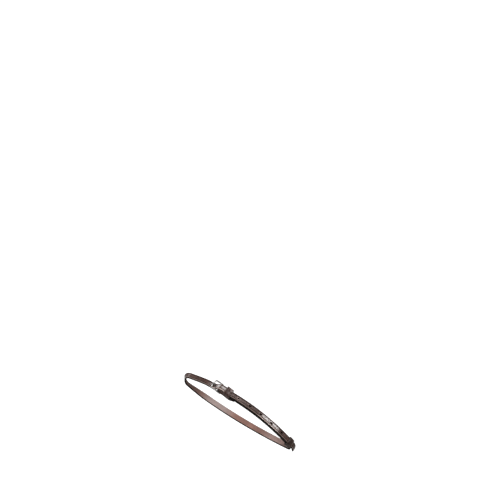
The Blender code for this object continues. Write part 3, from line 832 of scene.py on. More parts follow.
def keeper_corner(centre_y, centre_z, start_deg, radius):
    """Quarter turn of a keeper's band, as (point, way out)."""
    corner = []
    for degrees in divided(start_deg, start_deg - 90.0, CORNER_STEPS):
        out = Vector((math.cos(math.radians(degrees)), math.sin(math.radians(degrees))))
        corner.append((Vector((centre_y, centre_z)) + out * radius, out))
    return corner


def make_keeper(scene, name, node, body, place, keeper_length, low, slack, ends, thickness_of, ground,
                wear_and_highlight_share):
    """Leather band round the double strap, its outside being the left of its line."""
    loop = Loop(scene)
    strap, keepers = scene.strap_sizes, scene.keeper_sizes
    high = loop.layer + strap.leather + keepers.clearance
    near = keepers.corner_radius - strap.width / 2 - keepers.clearance
    far = slack - near
    bottom = low + keepers.corner_radius
    top = high - keepers.corner_radius
    radius = keepers.corner_radius + keepers.leather / 2
    corners = []
    for y, z, start_deg in ((near, bottom, 270.0), (near, top, 180.0), (far, top, 90.0), (far, bottom, 0.0)):
        corners += keeper_corner(y, z, start_deg, radius)
    down = Vector((0.0, -1.0))
    base = corners[0][0].y
    band = [(Vector((-ends / 2, base)), down), *corners, (Vector((ends / 2, base)), down)]
    line = [(point, thickness_of(out)) for point, out in band]

    def lay(point, across):
        run = place + across
        lifted = strap.near_radius + loop.fold_rise(run) + point.y
        arc = on_arc(lifted, loop.turn(run))
        return RUN_CENTRE + Vector((arc.x, point.x, arc.y))

    ribbon = Ribbon(line, lay)
    section = Section(
        keeper_length / 2, keepers.edge_round, keepers.crease_inset, keepers.crease_width,
        keepers.crease_depth, (keeper_length / 6, keeper_length / 12))
    strip = StripMesh(ribbon, section)
    strip.add_rings(ribbon.spread(0.0, ribbon.length))
    faces = keeper_material(scene, f"{name}_leather", ground, wear_and_highlight_share, section.crease)
    piece = strip.finish(name, [faces, keeper_edge_material(scene)])
    dress(piece, body, "keeper_leather", node)


def make_fixed_keeper(scene):
    """Keeper sewn in behind the buckle, its thinned ends between the strap and the turned-back end."""
    strap, keepers = scene.strap_sizes, scene.keeper_sizes
    low = (keepers.leather - keepers.fixed_tab) / 2 - strap.layer_gap

    def thickness_of(out):
        return keepers.leather + (keepers.fixed_tab - keepers.leather) * max(0.0, -out.y)

    make_keeper(
        scene, "fixed_keeper_band", "fixed_keeper", "strap", keepers.fixed_place, keepers.fixed_length, low,
        keepers.fixed_slack, keepers.fixed_tab_gap, thickness_of, scene.finish_colours.fixed_keeper,
        FIXED_WEAR_AND_HIGHLIGHT)


def make_sliding_keeper(scene):
    """Loose keeper near the chin end, its two ends meeting underneath."""
    keepers = scene.keeper_sizes
    make_keeper(
        scene, "sliding_keeper_band", "sliding_keeper", "sliding_keeper", Loop(scene).sliding_place,
        keepers.sliding_length, -keepers.clearance, 0.0, keepers.seam_gap, lambda out: keepers.leather,
        scene.finish_colours.sliding_keeper, SLIDING_WEAR_AND_HIGHLIGHT)


def frame_path(loop):
    """Line of the buckle's wire, heel bar at x = 0 and front bar raised over the billet."""
    buckle = loop.buckle
    half = buckle.inner_width / 2 + loop.bar_radius
    corner = buckle.corner_radius
    centres = [(-corner, half - corner), (corner - buckle.frame_length, half - corner)]
    centres += [(corner - buckle.frame_length, corner - half), (-corner, corner - half)]
    flat = []
    for quarter, (x, y) in enumerate(centres):
        for i in range(CORNER_STEPS + 1):
            turned = math.pi / 2 * (quarter + i / CORNER_STEPS)
            flat.append(Vector((x + corner * math.cos(turned), y + corner * math.sin(turned))))
    path = []
    for i, point in enumerate(flat):
        path.append(point)
        following = flat[(i + 1) % len(flat)]
        if (following - point).length > corner:
            path += [point.lerp(following, k / SIDE_STEPS) for k in range(1, SIDE_STEPS)]
    raised = []
    for point in path:
        share = -point.x / buckle.frame_length
        height = loop.front_bar_height * share + buckle.side_arch * math.sin(math.pi * share)
        raised.append(Vector((point.x, point.y, height)))
    return raised


def wire_mesh(path, radii, closed):
    """Round wire along a path, its side direction carried along so that it doesn't twist."""
    mesh = bmesh.new()
    under = mesh.verts.layers.float.new("under")
    count = len(path)
    side = Vector((0.0, 0.0, 1.0))
    rings = []
    for i, point in enumerate(path):
        before = path[(i - 1) % count] if closed or i > 0 else path[0]
        after = path[(i + 1) % count] if closed or i < count - 1 else path[-1]
        way = (after - before).normalized()
        side = (side - way * side.dot(way)).normalized()
        other = way.cross(side)
        ring = []
        for k in range(WIRE_SIDES):
            angle = 2 * math.pi * k / WIRE_SIDES
            out = math.cos(angle) * side + math.sin(angle) * other
            vertex = mesh.verts.new(point + radii[i] * out)
            # How far the wire faces down, for the painted shade on its underside
            vertex[under] = -out.z
            ring.append(vertex)
        rings.append(ring)
    pairs = list(zip(rings, rings[1:]))
    if closed:
        pairs.append((rings[-1], rings[0]))
    else:
        mesh.faces.new(rings[0])
        mesh.faces.new(rings[-1])
    for near, far in pairs:
        join_rings(mesh, near, far)
    return mesh


def at_heel_bar(mesh, loop, middle):
    """Turns a mesh from the buckle's own axes to its place on the strap."""
    turned = Matrix.Rotation(loop.turn(loop.buckle.heel_bar_place), 4, "Y")
    bmesh.ops.transform(mesh, matrix=Matrix.Translation(middle) @ turned, verts=mesh.verts)


def make_frame(scene):
    """Half buckle of round wire."""
    loop = Loop(scene)
    path = frame_path(loop)
    mesh = wire_mesh(path, [loop.bar_radius] * len(path), closed=True)
    at_heel_bar(mesh, loop, FRAME_MIDDLE)
    steel = steel_material(scene, "frame_steel", FRAME_ROUGHNESS)
    piece = finish_piece(mesh, "buckle_wire", [steel], ROUND_SMOOTH_DEG)
    dress(piece, "buckle_frame", "buckle_steel", "buckle_frame")


def smooth_through(points, count):
    """Catmull-Rom curve through points, count steps to a span."""
    curve = []
    ends = [2 * points[0] - points[1]] + points + [2 * points[-1] - points[-2]]
    for p0, p1, p2, p3 in zip(ends, ends[1:], ends[2:], ends[3:]):
        for i in range(count):
            t = i / count
            curve.append(0.5 * (2 * p1 + (p2 - p0) * t + (2 * p0 - 5 * p1 + 4 * p2 - p3) * t ** 2
                                + (3 * p1 - p0 - 3 * p2 + p3) * t ** 3))
    curve.append(points[-1])
    return curve


def tongue_path(loop):
    """Wire wound round the heel bar, then under the billet, up through its hole and over the front bar."""
    buckle, strap = loop.buckle, loop.strap
    wire = buckle.tongue_diameter
    eye_radius = loop.bar_radius + buckle.bar_clearance + wire / 2
    eye = []
    for degrees in evenly(*EYE_TURNS_DEG, EYE_STEP_DEG):
        angle = math.radians(degrees)
        eye.append(Vector((eye_radius * math.cos(angle), 0.0, eye_radius * math.sin(angle))))
    billet_low = loop.billet_underside(strap.prong_hole_place)
    billet_top = billet_low + strap.leather
    slope = strap.leather / 2
    beside_end = (strap.hole_length - wire - slope) / 2 - buckle.slot_clearance
    hole_x = strap.prong_hole_place - buckle.heel_bar_place + beside_end
    over_bar = loop.front_bar_height + loop.bar_radius + buckle.bar_clearance + wire / 2
    under = Vector((hole_x + strap.leather, 0.0, billet_low - wire))
    between = (eye[-1] + under) / 2
    between.z -= buckle.bar_clearance
    front = -buckle.frame_length
    rise = [
        eye[-1],
        between,
        under,
        Vector((hole_x + slope / 2, 0.0, billet_low)),
        Vector((hole_x - slope / 2, 0.0, billet_top)),
        Vector((front + buckle.bar_diameter, 0.0, over_bar - buckle.bar_clearance)),
        Vector((front, 0.0, over_bar + buckle.bar_clearance / 2)),
        Vector((front - buckle.tongue_overhang, 0.0, over_bar - wire / 2)),
    ]
    return eye[:-1] + smooth_through(rise, TONGUE_SPAN_STEPS)


def make_tongue(scene):
    """Tapered tongue with a rounded end."""
    loop = Loop(scene)
    buckle = loop.buckle
    path = tongue_path(loop)
    taper_start = (1 - TAPER_SHARE) * (len(path) - 1)
    radii = []
    for i in range(len(path)):
        share = max(0.0, (i - taper_start) / (len(path) - 1 - taper_start))
        narrowed = (buckle.tongue_tip_diameter - buckle.tongue_diameter) * share ** 2
        radii.append((buckle.tongue_diameter + narrowed) / 2)
    for end, step in ((0, 1), (len(path) - 1, -1)):
        for k, rounding in enumerate(WIRE_END_SHARES):
            radii[end + k * step] *= rounding
    mesh = wire_mesh(path, radii, closed=False)
    at_heel_bar(mesh, loop, HEEL_BAR)
    steel = steel_material(scene, "tongue_steel", TONGUE_ROUGHNESS)
    piece = finish_piece(mesh, "buckle_prong", [steel], ROUND_SMOOTH_DEG)
    dress(piece, "buckle_tongue", "tongue_steel", "buckle_tongue")


class Nodes:
    """Short calls that add nodes to one tree and join them."""

    def __init__(self, tree):
        self.tree = tree

    def feed(self, socket, value):
        """Joins a socket to another, or sets it to a plain value."""
        if isinstance(value, bpy.types.NodeSocket):
            self.tree.links.new(value, socket)
        else:
            socket.default_value = value

    def add(self, kind, inputs, **settings):
        node = self.tree.nodes.new(kind)
        for name, value in settings.items():
            setattr(node, name, value)
        for socket, value in inputs.items():
            self.feed(node.inputs[socket], value)
        return node

    def math(self, operation, first, second=0.0, clamp=False):
        inputs = {0: first, 1: second}
        return self.add("ShaderNodeMath", inputs, operation=operation, use_clamp=clamp).outputs[0]

    def times(self, first, *others):
        for other in others:
            first = self.math("MULTIPLY", first, other)
        return first

    def plus(self, first, second):
        return self.math("ADD", first, second)

    def minus(self, first, second):
        return self.math("SUBTRACT", first, second)

    def larger(self, first, second):
        return self.math("MAXIMUM", first, second)

    def unsigned(self, value):
        return self.math("ABSOLUTE", value)

    def smooth(self, value, start, end):
        """Smooth step of a value from 0 at start to 1 at end."""
        inputs = {"Value": value, "From Min": start, "From Max": end}
        return self.add("ShaderNodeMapRange", inputs, interpolation_type="SMOOTHSTEP").outputs[0]

    def fit(self, value, low, high):
        """Value from 0 to 1 fitted between low and high."""
        return self.add("ShaderNodeMapRange", {"Value": value, "To Min": low, "To Max": high}).outputs[0]

    def mix(self, share, first, second):
        inputs = {0: share, 6: first, 7: second}
        return self.add("ShaderNodeMix", inputs, data_type="RGBA").outputs[2]

    def tint(self, base, share, values):
        """Base colour turned to another by a share."""
        return self.mix(share, base, rgba(values))

    def noise(self, vector, scale, detail=4.0, roughness=0.6):
        inputs = {"Vector": vector, "Scale": scale, "Detail": detail, "Roughness": roughness}
        return self.add("ShaderNodeTexNoise", inputs).outputs[0]

    def attribute(self, name):
        return self.add("ShaderNodeAttribute", {}, attribute_name=name).outputs["Fac"]

    def vector(self, x, y, z):
        return self.add("ShaderNodeCombineXYZ", {0: x, 1: y, 2: z}).outputs[0]

    def leather(self, depth):
        """Where a point lies along, across and through the leather, and the three as one flat place."""
        along, across, side = (self.attribute(name) for name in ("along", "across", "side"))
        return along, across, side, self.vector(along, across, self.times(side, depth))

    def group(self, tree, **inputs):
        return self.add("ShaderNodeGroup", inputs, node_tree=tree).outputs

    def end(self, kind, shader):
        """Joins a shader to an output node of its tree."""
        output = self.tree.nodes.new(kind)
        self.tree.links.new(shader.outputs[0], output.inputs[0])

    def surface(self, inputs, height, depth):
        """Principled surface with a bump of a real depth, as the material's output."""
        relief = self.add("ShaderNodeBump", {"Strength": 1.0, "Distance": depth, "Height": height})
        shader = self.add("ShaderNodeBsdfPrincipled", {**inputs, "Normal": relief.outputs[0]})
        self.end("ShaderNodeOutputMaterial", shader)


def rgba(values):
    return (*values, 1.0)


def grey(level):
    return (level, level, level, 1.0)


def darker(values, share):
    return tuple(share * value for value in values)


def new_material(name):
    material = bpy.data.materials.new(name)
    material.use_nodes = True
    material.node_tree.nodes.clear()
    return material, Nodes(material.node_tree)


def effect_group(name, inputs, outputs, build):
    """Shader node group made once. An input with no default is a vector. Build takes the group's nodes and
    inputs, and gives its outputs by name."""
    tree = bpy.data.node_groups.get(name)
    if tree:
        return tree
    tree = bpy.data.node_groups.new(name, "ShaderNodeTree")
    for label, default in inputs.items():
        kind = "NodeSocketVector" if default is None else "NodeSocketFloat"
        socket = tree.interface.new_socket(name=label, in_out="INPUT", socket_type=kind)
        if default is not None:
            socket.default_value = default
    for label in outputs:
        tree.interface.new_socket(name=label, in_out="OUTPUT", socket_type="NodeSocketFloat")
    start = tree.nodes.new("NodeGroupInput")
    end = tree.nodes.new("NodeGroupOutput")
    results = build(Nodes(tree), {socket.name: socket for socket in start.outputs if socket.name})
    for label in outputs:
        tree.links.new(results[label], end.inputs[label])
    return tree


def leather_grain():
    """Pores and fine wrinkles of the grain side, with a slow mottling."""
    def build(nodes, given):
        place, pores = given["Vector"], given["Pores"]
        cells = nodes.add("ShaderNodeTexVoronoi", {"Vector": place, "Scale": pores}).outputs[0]
        wrinkles = nodes.noise(place, nodes.times(pores, 2.3))
        mottling = nodes.noise(place, nodes.times(pores, 0.09))
        height = nodes.plus(nodes.times(cells, 0.7), nodes.times(wrinkles, 0.5))
        return {"Height": height, "Tone": nodes.smooth(mottling, 0.36, 0.66)}
    return effect_group("Leather grain", {"Vector": None, "Pores": 1200.0}, ("Height", "Tone"), build)


def edge_wear():
    """Rubbed corners beside the edges, partly a painted highlight, broken up, and the band that the edge dye
    covers.
    """
    def build(nodes, given):
        level = nodes.unsigned(given["Side"])
        off_corner = nodes.unsigned(nodes.minus(level, CORNER_LEVEL))
        corner = nodes.math("SUBTRACT", 1.0, nodes.times(off_corner, CORNER_SHARPNESS), clamp=True)
        broken = nodes.smooth(nodes.noise(given["Vector"], given["Patches"]), 0.40, 0.62)
        dyed = nodes.minus(1.0, nodes.smooth(level, *DYE_LEVELS))
        return {"Worn_and_highlit": nodes.times(corner, broken), "Dyed": dyed}
    inputs = {"Side": 1.0, "Vector": None, "Patches": 240.0}
    return effect_group("Edge wear", inputs, ("Worn_and_highlit", "Dyed"), build)


def bend_creases():
    """Fine lines across the leather where it has been bent again and again."""
    def build(nodes, given):
        fineness = given["Fineness"]
        along = nodes.times(given["Along"], fineness)
        across = nodes.times(given["Across"], nodes.times(fineness, given["Slant"]))
        waves = nodes.noise(nodes.vector(along, across, 0.0), 1.0, detail=3.0, roughness=0.55)
        away = nodes.unsigned(nodes.minus(waves, 0.5))
        return {"Lines": nodes.smooth(away, 0.10, 0.0), "Waves": waves}
    inputs = {"Along": 0.0, "Across": 0.0, "Fineness": 900.0, "Slant": 0.12}
    return effect_group("Bend creases", inputs, ("Lines", "Waves"), build)


def local_patch():
    """Mask of one stretch of the strap, fading out at both ends."""
    def build(nodes, given):
        away = nodes.unsigned(nodes.minus(given["Along"], given["Centre"]))
        past = nodes.minus(away, given["Reach"])
        return {"Mask": nodes.smooth(nodes.math("DIVIDE", past, given["Fade"]), 1.0, 0.0)}
    inputs = {"Along": 0.0, "Centre": 0.0, "Reach": 0.01, "Fade": 0.01}
    return effect_group("Local patch", inputs, ("Mask",), build)


def pressed_lines():
    """Mask of the lines pressed beside both edges, and how far a place lies outside them."""
    def build(nodes, given):
        past = nodes.minus(nodes.unsigned(given["Across"]), given["Crease"])
        core = nodes.math("DIVIDE", given["Reach"], 3.0)
        return {"Mask": nodes.smooth(nodes.unsigned(past), given["Reach"], core), "Past": past}
    inputs = {"Across": 0.0, "Crease": 0.005, "Reach": 0.001}
    return effect_group("Pressed lines", inputs, ("Mask", "Past"), build)


def edge_surface(nodes, base, fibres, gloss):
    """Burnished surface of a dyed edge."""
    inputs = {"Base Color": base, "Roughness": nodes.fit(fibres, 0.40, 0.55), "Specular IOR Level": gloss}
    nodes.surface(inputs, fibres, EDGE_RELIEF)


def edge_material(scene, marks):
    """Black dyed and burnished edge, rubbed brown at its corners and beside the buckle, partly as a painted
    highlight.
    """
    colours = scene.finish_colours
    material, nodes = new_material("strap_edge")
    along, _, side, flat = nodes.leather(EDGE_DEPTH)
    wear = nodes.group(edge_wear(), Side=side, Vector=flat, Patches=260.0)
    pitch = marks["pitch"]
    on_billet = nodes.group(
        local_patch(), Along=along, Centre=marks["prong"] + 0.55 * pitch, Reach=0.35 * pitch, Fade=0.004)
    on_fold = nodes.group(local_patch(), Along=along, Centre=marks["fold"], Reach=0.014, Fade=0.005)
    by_buckle = nodes.larger(on_billet["Mask"], on_fold["Mask"])
    fibres = nodes.noise(nodes.vector(nodes.times(along, 0.3), side, 0.0), 900.0)
    rubbed = nodes.times(by_buckle, nodes.smooth(fibres, 0.30, 0.60))
    outer = nodes.times(wear["Worn_and_highlit"], nodes.smooth(side, -0.2, 0.3))
    # Edges beside the buckle lightened, partly wear and partly a painted highlight
    base = nodes.tint(rgba(colours.edge), nodes.times(rubbed, 0.4), colours.grain_worn)
    # Grain-side corner lightened, partly wear and partly a painted highlight
    base = nodes.tint(base, nodes.times(outer, 0.25), colours.grain_worn)
    edge_surface(nodes, base, fibres, 0.03)
    return material


def keeper_edge_material(scene):
    """Dyed edge of the keepers, which both share."""
    material = bpy.data.materials.get("keeper_edge")
    if material:
        return material
    colours = scene.finish_colours
    material, nodes = new_material("keeper_edge")
    _, _, side, flat = nodes.leather(EDGE_DEPTH)
    wear = nodes.group(edge_wear(), Side=side, Vector=flat, Patches=330.0)
    fibres = nodes.noise(flat, 1500.0)
    # Corners lightened, partly wear and partly a painted highlight
    base = nodes.tint(rgba(colours.edge), nodes.times(wear["Worn_and_highlit"], 0.40), colours.grain_worn)
    edge_surface(nodes, base, fibres, 0.08)
    return material


def worn_stretches(nodes, along, marks):
    """Masks of the stretches worn by the buckle and lit by a painted sheen, of the chin bend in painted shade
    and the darker tip, of the free hole, of the paler far run and of the darker nose.
    """
    def patch(centre, reach, fade):
        return nodes.group(local_patch(), Along=along, Centre=centre, Reach=reach, Fade=fade)["Mask"]

    pitch = marks["pitch"]
    far_length = marks["far"] - marks["chin"]
    by_buckle = patch(marks["prong"] + 0.45 * pitch, 0.65 * pitch, 0.008)
    by_sheen = patch(marks["sheen"] - 0.22 * pitch, 0.74 * pitch, 0.007)
    on_far_run = patch(marks["far"] - 0.30 * far_length, 0.045 * far_length, 0.16 * far_length)
    past_chin = patch(marks["chin"] + 0.10 * far_length, 0.06 * far_length, 0.14 * far_length)
    return {
        "wear_and_sheen": nodes.larger(by_buckle, by_sheen),
        # The chin bend darkened as painted shade, and the tip darkened
        "chin_shade_and_dark_tip": nodes.larger(patch(marks["tip"], 0.016, 0.006), patch(marks["chin"], 0.014, 0.008)),
        "free_hole": patch(marks["free_hole"], 0.35 * pitch, 0.004),
        "rubbed": nodes.larger(nodes.times(on_far_run, 0.85), nodes.times(past_chin, 0.45)),
        "darker_at_nose": patch(marks["nose"] - 0.01, 0.026, 0.050),
    }


def bare_ring(nodes, along, flat, free_hole, by_free_hole):
    """Mask of the bare leather round the free hole, chafed and heavier towards the buckle."""
    ring = nodes.times(nodes.smooth(nodes.attribute("rim"), 0.92, 0.45), by_free_hole)
    lean = nodes.smooth(along, free_hole + 0.0035, free_hole - 0.0020)
    chafed = nodes.smooth(nodes.noise(flat, 520.0, detail=3.0), 0.34, 0.60)
    return nodes.times(ring, nodes.fit(lean, 0.40, 1.0), nodes.fit(chafed, 0.35, 1.0))


def flesh_colour(nodes, colours, worn, fibres, clouds):
    """Suede-like flesh side, paler in patches along the far run and darker at the nose."""
    rubbed = nodes.math("MULTIPLY", worn["rubbed"], nodes.fit(clouds, 0.55, 1.45), clamp=True)
    under = nodes.tint(rgba(colours.flesh), nodes.fit(fibres, 0.0, 0.75), colours.flesh_dark)
    under = nodes.tint(under, nodes.smooth(clouds, 0.35, 0.70), colours.flesh)
    under = nodes.tint(under, rubbed, colours.flesh_pale)
    return nodes.tint(under, nodes.times(worn["darker_at_nose"], 0.95), colours.flesh_dark)


def strap_material(scene, marks, crease):
    """Waxed grain outside, suede-like flesh inside, black dyed edges, and the wear that each stretch has."""
    colours = scene.finish_colours
    material, nodes = new_material("strap_leather")
    along, across, side, flat = nodes.leather(FACE_DEPTH)
    grain = nodes.group(leather_grain(), Vector=flat, Pores=1150.0)
    wear = nodes.group(edge_wear(), Side=side, Vector=flat, Patches=210.0)
    ticks = nodes.group(bend_creases(), Along=along, Across=across, Fineness=560.0, Slant=0.14)
    streaks = nodes.group(bend_creases(), Along=along, Across=across, Fineness=70.0, Slant=8.0)
    lines = nodes.group(pressed_lines(), Across=across, Crease=crease, Reach=0.0012)
    hollows = nodes.group(pressed_lines(), Across=across, Crease=crease, Reach=0.0016)
    lengthwise = nodes.vector(nodes.times(along, 0.25), across, 0.0)
    fibres = nodes.noise(lengthwise, 2600.0, detail=5.0, roughness=0.7)
    clouds = nodes.noise(flat, 34.0)
    worn = worn_stretches(nodes, along, marks)
    wear_and_sheen = worn["wear_and_sheen"]
    is_flesh = nodes.smooth(side, *FLESH_LEVELS)

    # The borders outside the pressed lines, of which the low one is polished the most and painted lighter as
    # a highlight
    low_side = nodes.smooth(across, 0.0015, -0.0015)
    border = nodes.smooth(lines["Past"], 0.0002, 0.0008)
    low_border = nodes.times(border, low_side)
    high_border = nodes.minus(border, low_border)

    # Colour of the grain side, then of the flesh side and the edges
    ground = nodes.mix(grain["Tone"], rgba(colours.grain_dark), rgba(colours.grain))
    # Lighter streaks in the worn stretches, partly wear and partly a painted highlight
    scuffs_and_highlight = nodes.times(wear_and_sheen, nodes.smooth(streaks["Waves"], 0.40, 0.62))
    ground = nodes.tint(ground, nodes.times(scuffs_and_highlight, 0.45), colours.grain_worn)
    # Painted shade at the chin bend, and a darker tip
    ground = nodes.tint(ground, worn["chin_shade_and_dark_tip"], colours.grain_dark)
    # Bend lines in the worn stretches darkened as painted shade
    bend_line_shade = nodes.times(ticks["Lines"], nodes.fit(wear_and_sheen, 0.12, 0.30))
    ground = nodes.tint(ground, bend_line_shade, colours.grain_dark)
    # Painted highlight along the low border, strongest in the worn stretches, where it is partly wear
    ground = nodes.tint(ground, nodes.times(low_border, nodes.fit(wear_and_sheen, 0.42, 1.0)), colours.grain_worn)
    ground = nodes.tint(ground, nodes.times(low_border, wear_and_sheen, 0.35), colours.hole_ring)
    # Pressed lines darkened, partly their own colour and partly painted shade of the groove
    ground = nodes.tint(ground, nodes.times(lines["Mask"], 0.90), colours.crease)
    ring = bare_ring(nodes, along, flat, marks["free_hole"], worn["free_hole"])
    ground = nodes.tint(ground, ring, colours.hole_ring)
    base = nodes.mix(is_flesh, ground, flesh_colour(nodes, colours, worn, fibres, clouds))
    base = nodes.tint(base, wear["Dyed"], colours.edge)
    # Rubbed corners painted lighter, partly wear and partly a painted highlight
    base = nodes.tint(base, nodes.times(wear["Worn_and_highlit"], 0.45), colours.grain_worn)
    roughness = nodes.plus(nodes.fit(grain["Tone"], 0.36, 0.26), nodes.times(is_flesh, 0.50))

    # Pores, the lines of bending, streaks where it is worked, and fibres on the flesh side
    relief = nodes.times(grain["Height"], 0.07)
    relief = nodes.minus(relief, nodes.times(ticks["Lines"], nodes.fit(wear_and_sheen, 0.04, 0.12)))
    relief = nodes.plus(relief, nodes.times(streaks["Waves"], nodes.fit(wear_and_sheen, 0.2, 0.7)))
    relief = nodes.plus(relief, nodes.times(fibres, is_flesh, 0.4))

    # Wax polished by use, streaked, and thin in the pressed lines and on the high border
    polish = nodes.times(wear_and_sheen, nodes.fit(nodes.smooth(streaks["Waves"], 0.35, 0.60), 0.45, 1.0))
    polish = nodes.times(polish, nodes.fit(nodes.smooth(across, -0.0035, 0.0), 0.60, 1.0))
    polish = nodes.larger(polish, nodes.times(wear_and_sheen, low_border))
    polish = nodes.times(polish, nodes.smooth(side, *GRAIN_LEVELS))
    polish = nodes.times(polish, nodes.minus(1.0, nodes.times(hollows["Mask"], low_side)))
    polish = nodes.times(polish, nodes.fit(lines["Mask"], 1.0, 0.45), nodes.fit(high_border, 1.0, 0.45))
    inputs = {
        "Base Color": base, "Roughness": roughness, "Specular IOR Level": 0.11, "Coat Weight": polish,
        "Coat Roughness": WAX_ROUGHNESS}
    nodes.surface(inputs, relief, FACE_RELIEF)
    return material


def keeper_material(scene, name, ground, wear_and_highlight_share, crease):
    """Keeper leather, darker in its creases, partly as painted shade, and rubbed along its edges with a
    painted highlight.
    """
    colours = scene.finish_colours
    material, nodes = new_material(name)
    along, across, side, flat = nodes.leather(FACE_DEPTH)
    grain = nodes.group(leather_grain(), Vector=flat, Pores=1400.0)
    wear = nodes.group(edge_wear(), Side=side, Vector=flat, Patches=330.0)
    folds = nodes.group(bend_creases(), Along=along, Across=across, Fineness=520.0, Slant=0.25)
    lines = nodes.group(pressed_lines(), Across=across, Crease=crease, Reach=0.0006)
    waves = nodes.smooth(folds["Waves"], 0.52, 0.70)
    border = nodes.smooth(lines["Past"], 0.0, 0.0006)
    base = nodes.mix(grain["Tone"], rgba(darker(ground, 0.45)), rgba(ground))
    base = nodes.tint(base, nodes.times(waves, 0.08), colours.grain_worn)
    # Borders outside the creases lightened, partly wear and partly a painted highlight
    base = nodes.tint(base, nodes.times(border, wear_and_highlight_share), colours.grain_worn)
    # Creases darkened, partly their own colour and partly painted shade of the groove
    base = nodes.tint(base, lines["Mask"], colours.crease)
    base = nodes.tint(base, wear["Dyed"], colours.edge)
    # Corners lightened, partly wear and partly a painted highlight
    base = nodes.tint(base, nodes.times(wear["Worn_and_highlit"], wear_and_highlight_share), colours.grain_worn)
    relief = nodes.minus(nodes.times(grain["Height"], 0.15), nodes.times(folds["Lines"], 0.25))
    rubbed = nodes.smooth(nodes.noise(flat, 260.0, detail=2.0, roughness=0.5), 0.48, 0.66)
    polish = nodes.times(rubbed, nodes.smooth(side, *GRAIN_LEVELS), 0.6)
    inputs = {
        "Base Color": base, "Roughness": nodes.fit(grain["Tone"], 0.38, 0.26), "Specular IOR Level": 0.10,
        "Coat Weight": polish, "Coat Roughness": WAX_ROUGHNESS}
    nodes.surface(inputs, relief, FACE_RELIEF)
    return material


def thread_material(scene):
    """Waxed thread of two twisted strands."""
    colours = scene.finish_colours
    material, nodes = new_material("stitch_thread")
    along, around = nodes.attribute("along"), nodes.attribute("around")
    twist = nodes.plus(nodes.times(along, TWISTS_PER_METRE), nodes.times(around, THREAD_STRANDS))
    strand = nodes.unsigned(nodes.math("SINE", nodes.times(twist, math.pi)))
    fuzz = nodes.noise(nodes.vector(along, around, 0.0), 4000.0, detail=3.0, roughness=0.5)
    base = nodes.tint(rgba(darker(colours.thread, 0.35)), strand, colours.thread)
    relief = nodes.plus(strand, nodes.times(fuzz, 0.2))
    nodes.surface({"Base Color": base, "Roughness": nodes.fit(fuzz, 0.45, 0.65)}, relief, THREAD_RELIEF)
    return material


def steel_material(scene, name, roughness):
    """Polished wire with fine scratches, a dull film in patches, and painted shade on its underside."""
    colours = scene.finish_colours
    material, nodes = new_material(name)
    spot = nodes.add("ShaderNodeTexCoord", {}).outputs["Object"]
    patches = nodes.noise(spot, 150.0, detail=3.0, roughness=0.5)
    # Darker where the wire faces down: painted shade
    underside_shade = nodes.smooth(nodes.plus(nodes.attribute("under"), nodes.fit(patches, -0.3, 0.3)), 0.55, 1.05)
    tarnish_and_shade = nodes.larger(nodes.times(nodes.smooth(patches, 0.50, 0.78), 0.5), underside_shade)
    drawn_out = nodes.add("ShaderNodeVectorMath", {0: spot, 1: SCRATCH_STRETCH}, operation="MULTIPLY")
    scratches = nodes.noise(drawn_out.outputs[0], 900.0, detail=5.0, roughness=0.7)
    base = nodes.tint(rgba(colours.steel), tarnish_and_shade, colours.tarnish)
    rough = nodes.plus(roughness, nodes.times(nodes.plus(tarnish_and_shade, scratches), 0.10))
    inputs = {"Base Color": base, "Metallic": 1.0, "Roughness": rough, "Specular Tint": grey(0.15)}
    nodes.surface(inputs, scratches, SCRATCH_RELIEF)
    return material


def seen_directly(nodes):
    """1 for what the camera sees, straight, in a reflection or through something clear."""
    path = nodes.add("ShaderNodeLightPath", {}).outputs
    seen = nodes.larger(path["Is Camera Ray"], path["Is Glossy Ray"])
    return nodes.larger(seen, path["Is Transmission Ray"])


def floor_material():
    """White floor that keeps the strap's shadow."""
    material, nodes = new_material("white_floor")
    plain = nodes.add("ShaderNodeBsdfDiffuse", {"Color": grey(FLOOR_WHITE)})
    bright = nodes.add("ShaderNodeEmission", {"Color": grey(1.0), "Strength": FLOOR_GLOW})
    share = nodes.times(seen_directly(nodes), FLOOR_GLOW_SHARE)
    mixed = nodes.add("ShaderNodeMixShader", {0: share, 1: plain.outputs[0], 2: bright.outputs[0]})
    nodes.end("ShaderNodeOutputMaterial", mixed)
    return material


def make_floor(scene):
    """Square floor some way below the strap."""
    stage = scene.stage_settings
    low = CAD_BOX[0][2] - stage.floor_drop
    mesh = bmesh.new()
    bmesh.ops.create_grid(mesh, x_segments=2, y_segments=2, size=stage.floor_size / 2)
    bmesh.ops.translate(mesh, verts=mesh.verts, vec=(0.0, 0.0, low))
    floor = finish_piece(mesh, "floor", [floor_material()], ROUND_SMOOTH_DEG)


def make_world(scene):
    """White surroundings under a darker ceiling, which rounds the steel and deepens the leather."""
    world = bpy.data.worlds.new("studio")
    world.use_nodes = True
    world.node_tree.nodes.clear()
    nodes = Nodes(world.node_tree)
    way = nodes.add("ShaderNodeTexCoord", {}).outputs["Generated"]
    height = nodes.add("ShaderNodeSeparateXYZ", {0: way}).outputs["Z"]
    seen_room = nodes.fit(nodes.smooth(height, *CEILING_HEIGHTS), 1.0, CEILING_LIGHT)
    seen_more = nodes.times(nodes.minus(seen_room, ROOM_LIGHT), seen_directly(nodes))
    inputs = {"Color": grey(1.0), "Strength": nodes.plus(seen_more, ROOM_LIGHT)}
    nodes.end("ShaderNodeOutputWorld", nodes.add("ShaderNodeBackground", inputs))
    scene.world = world


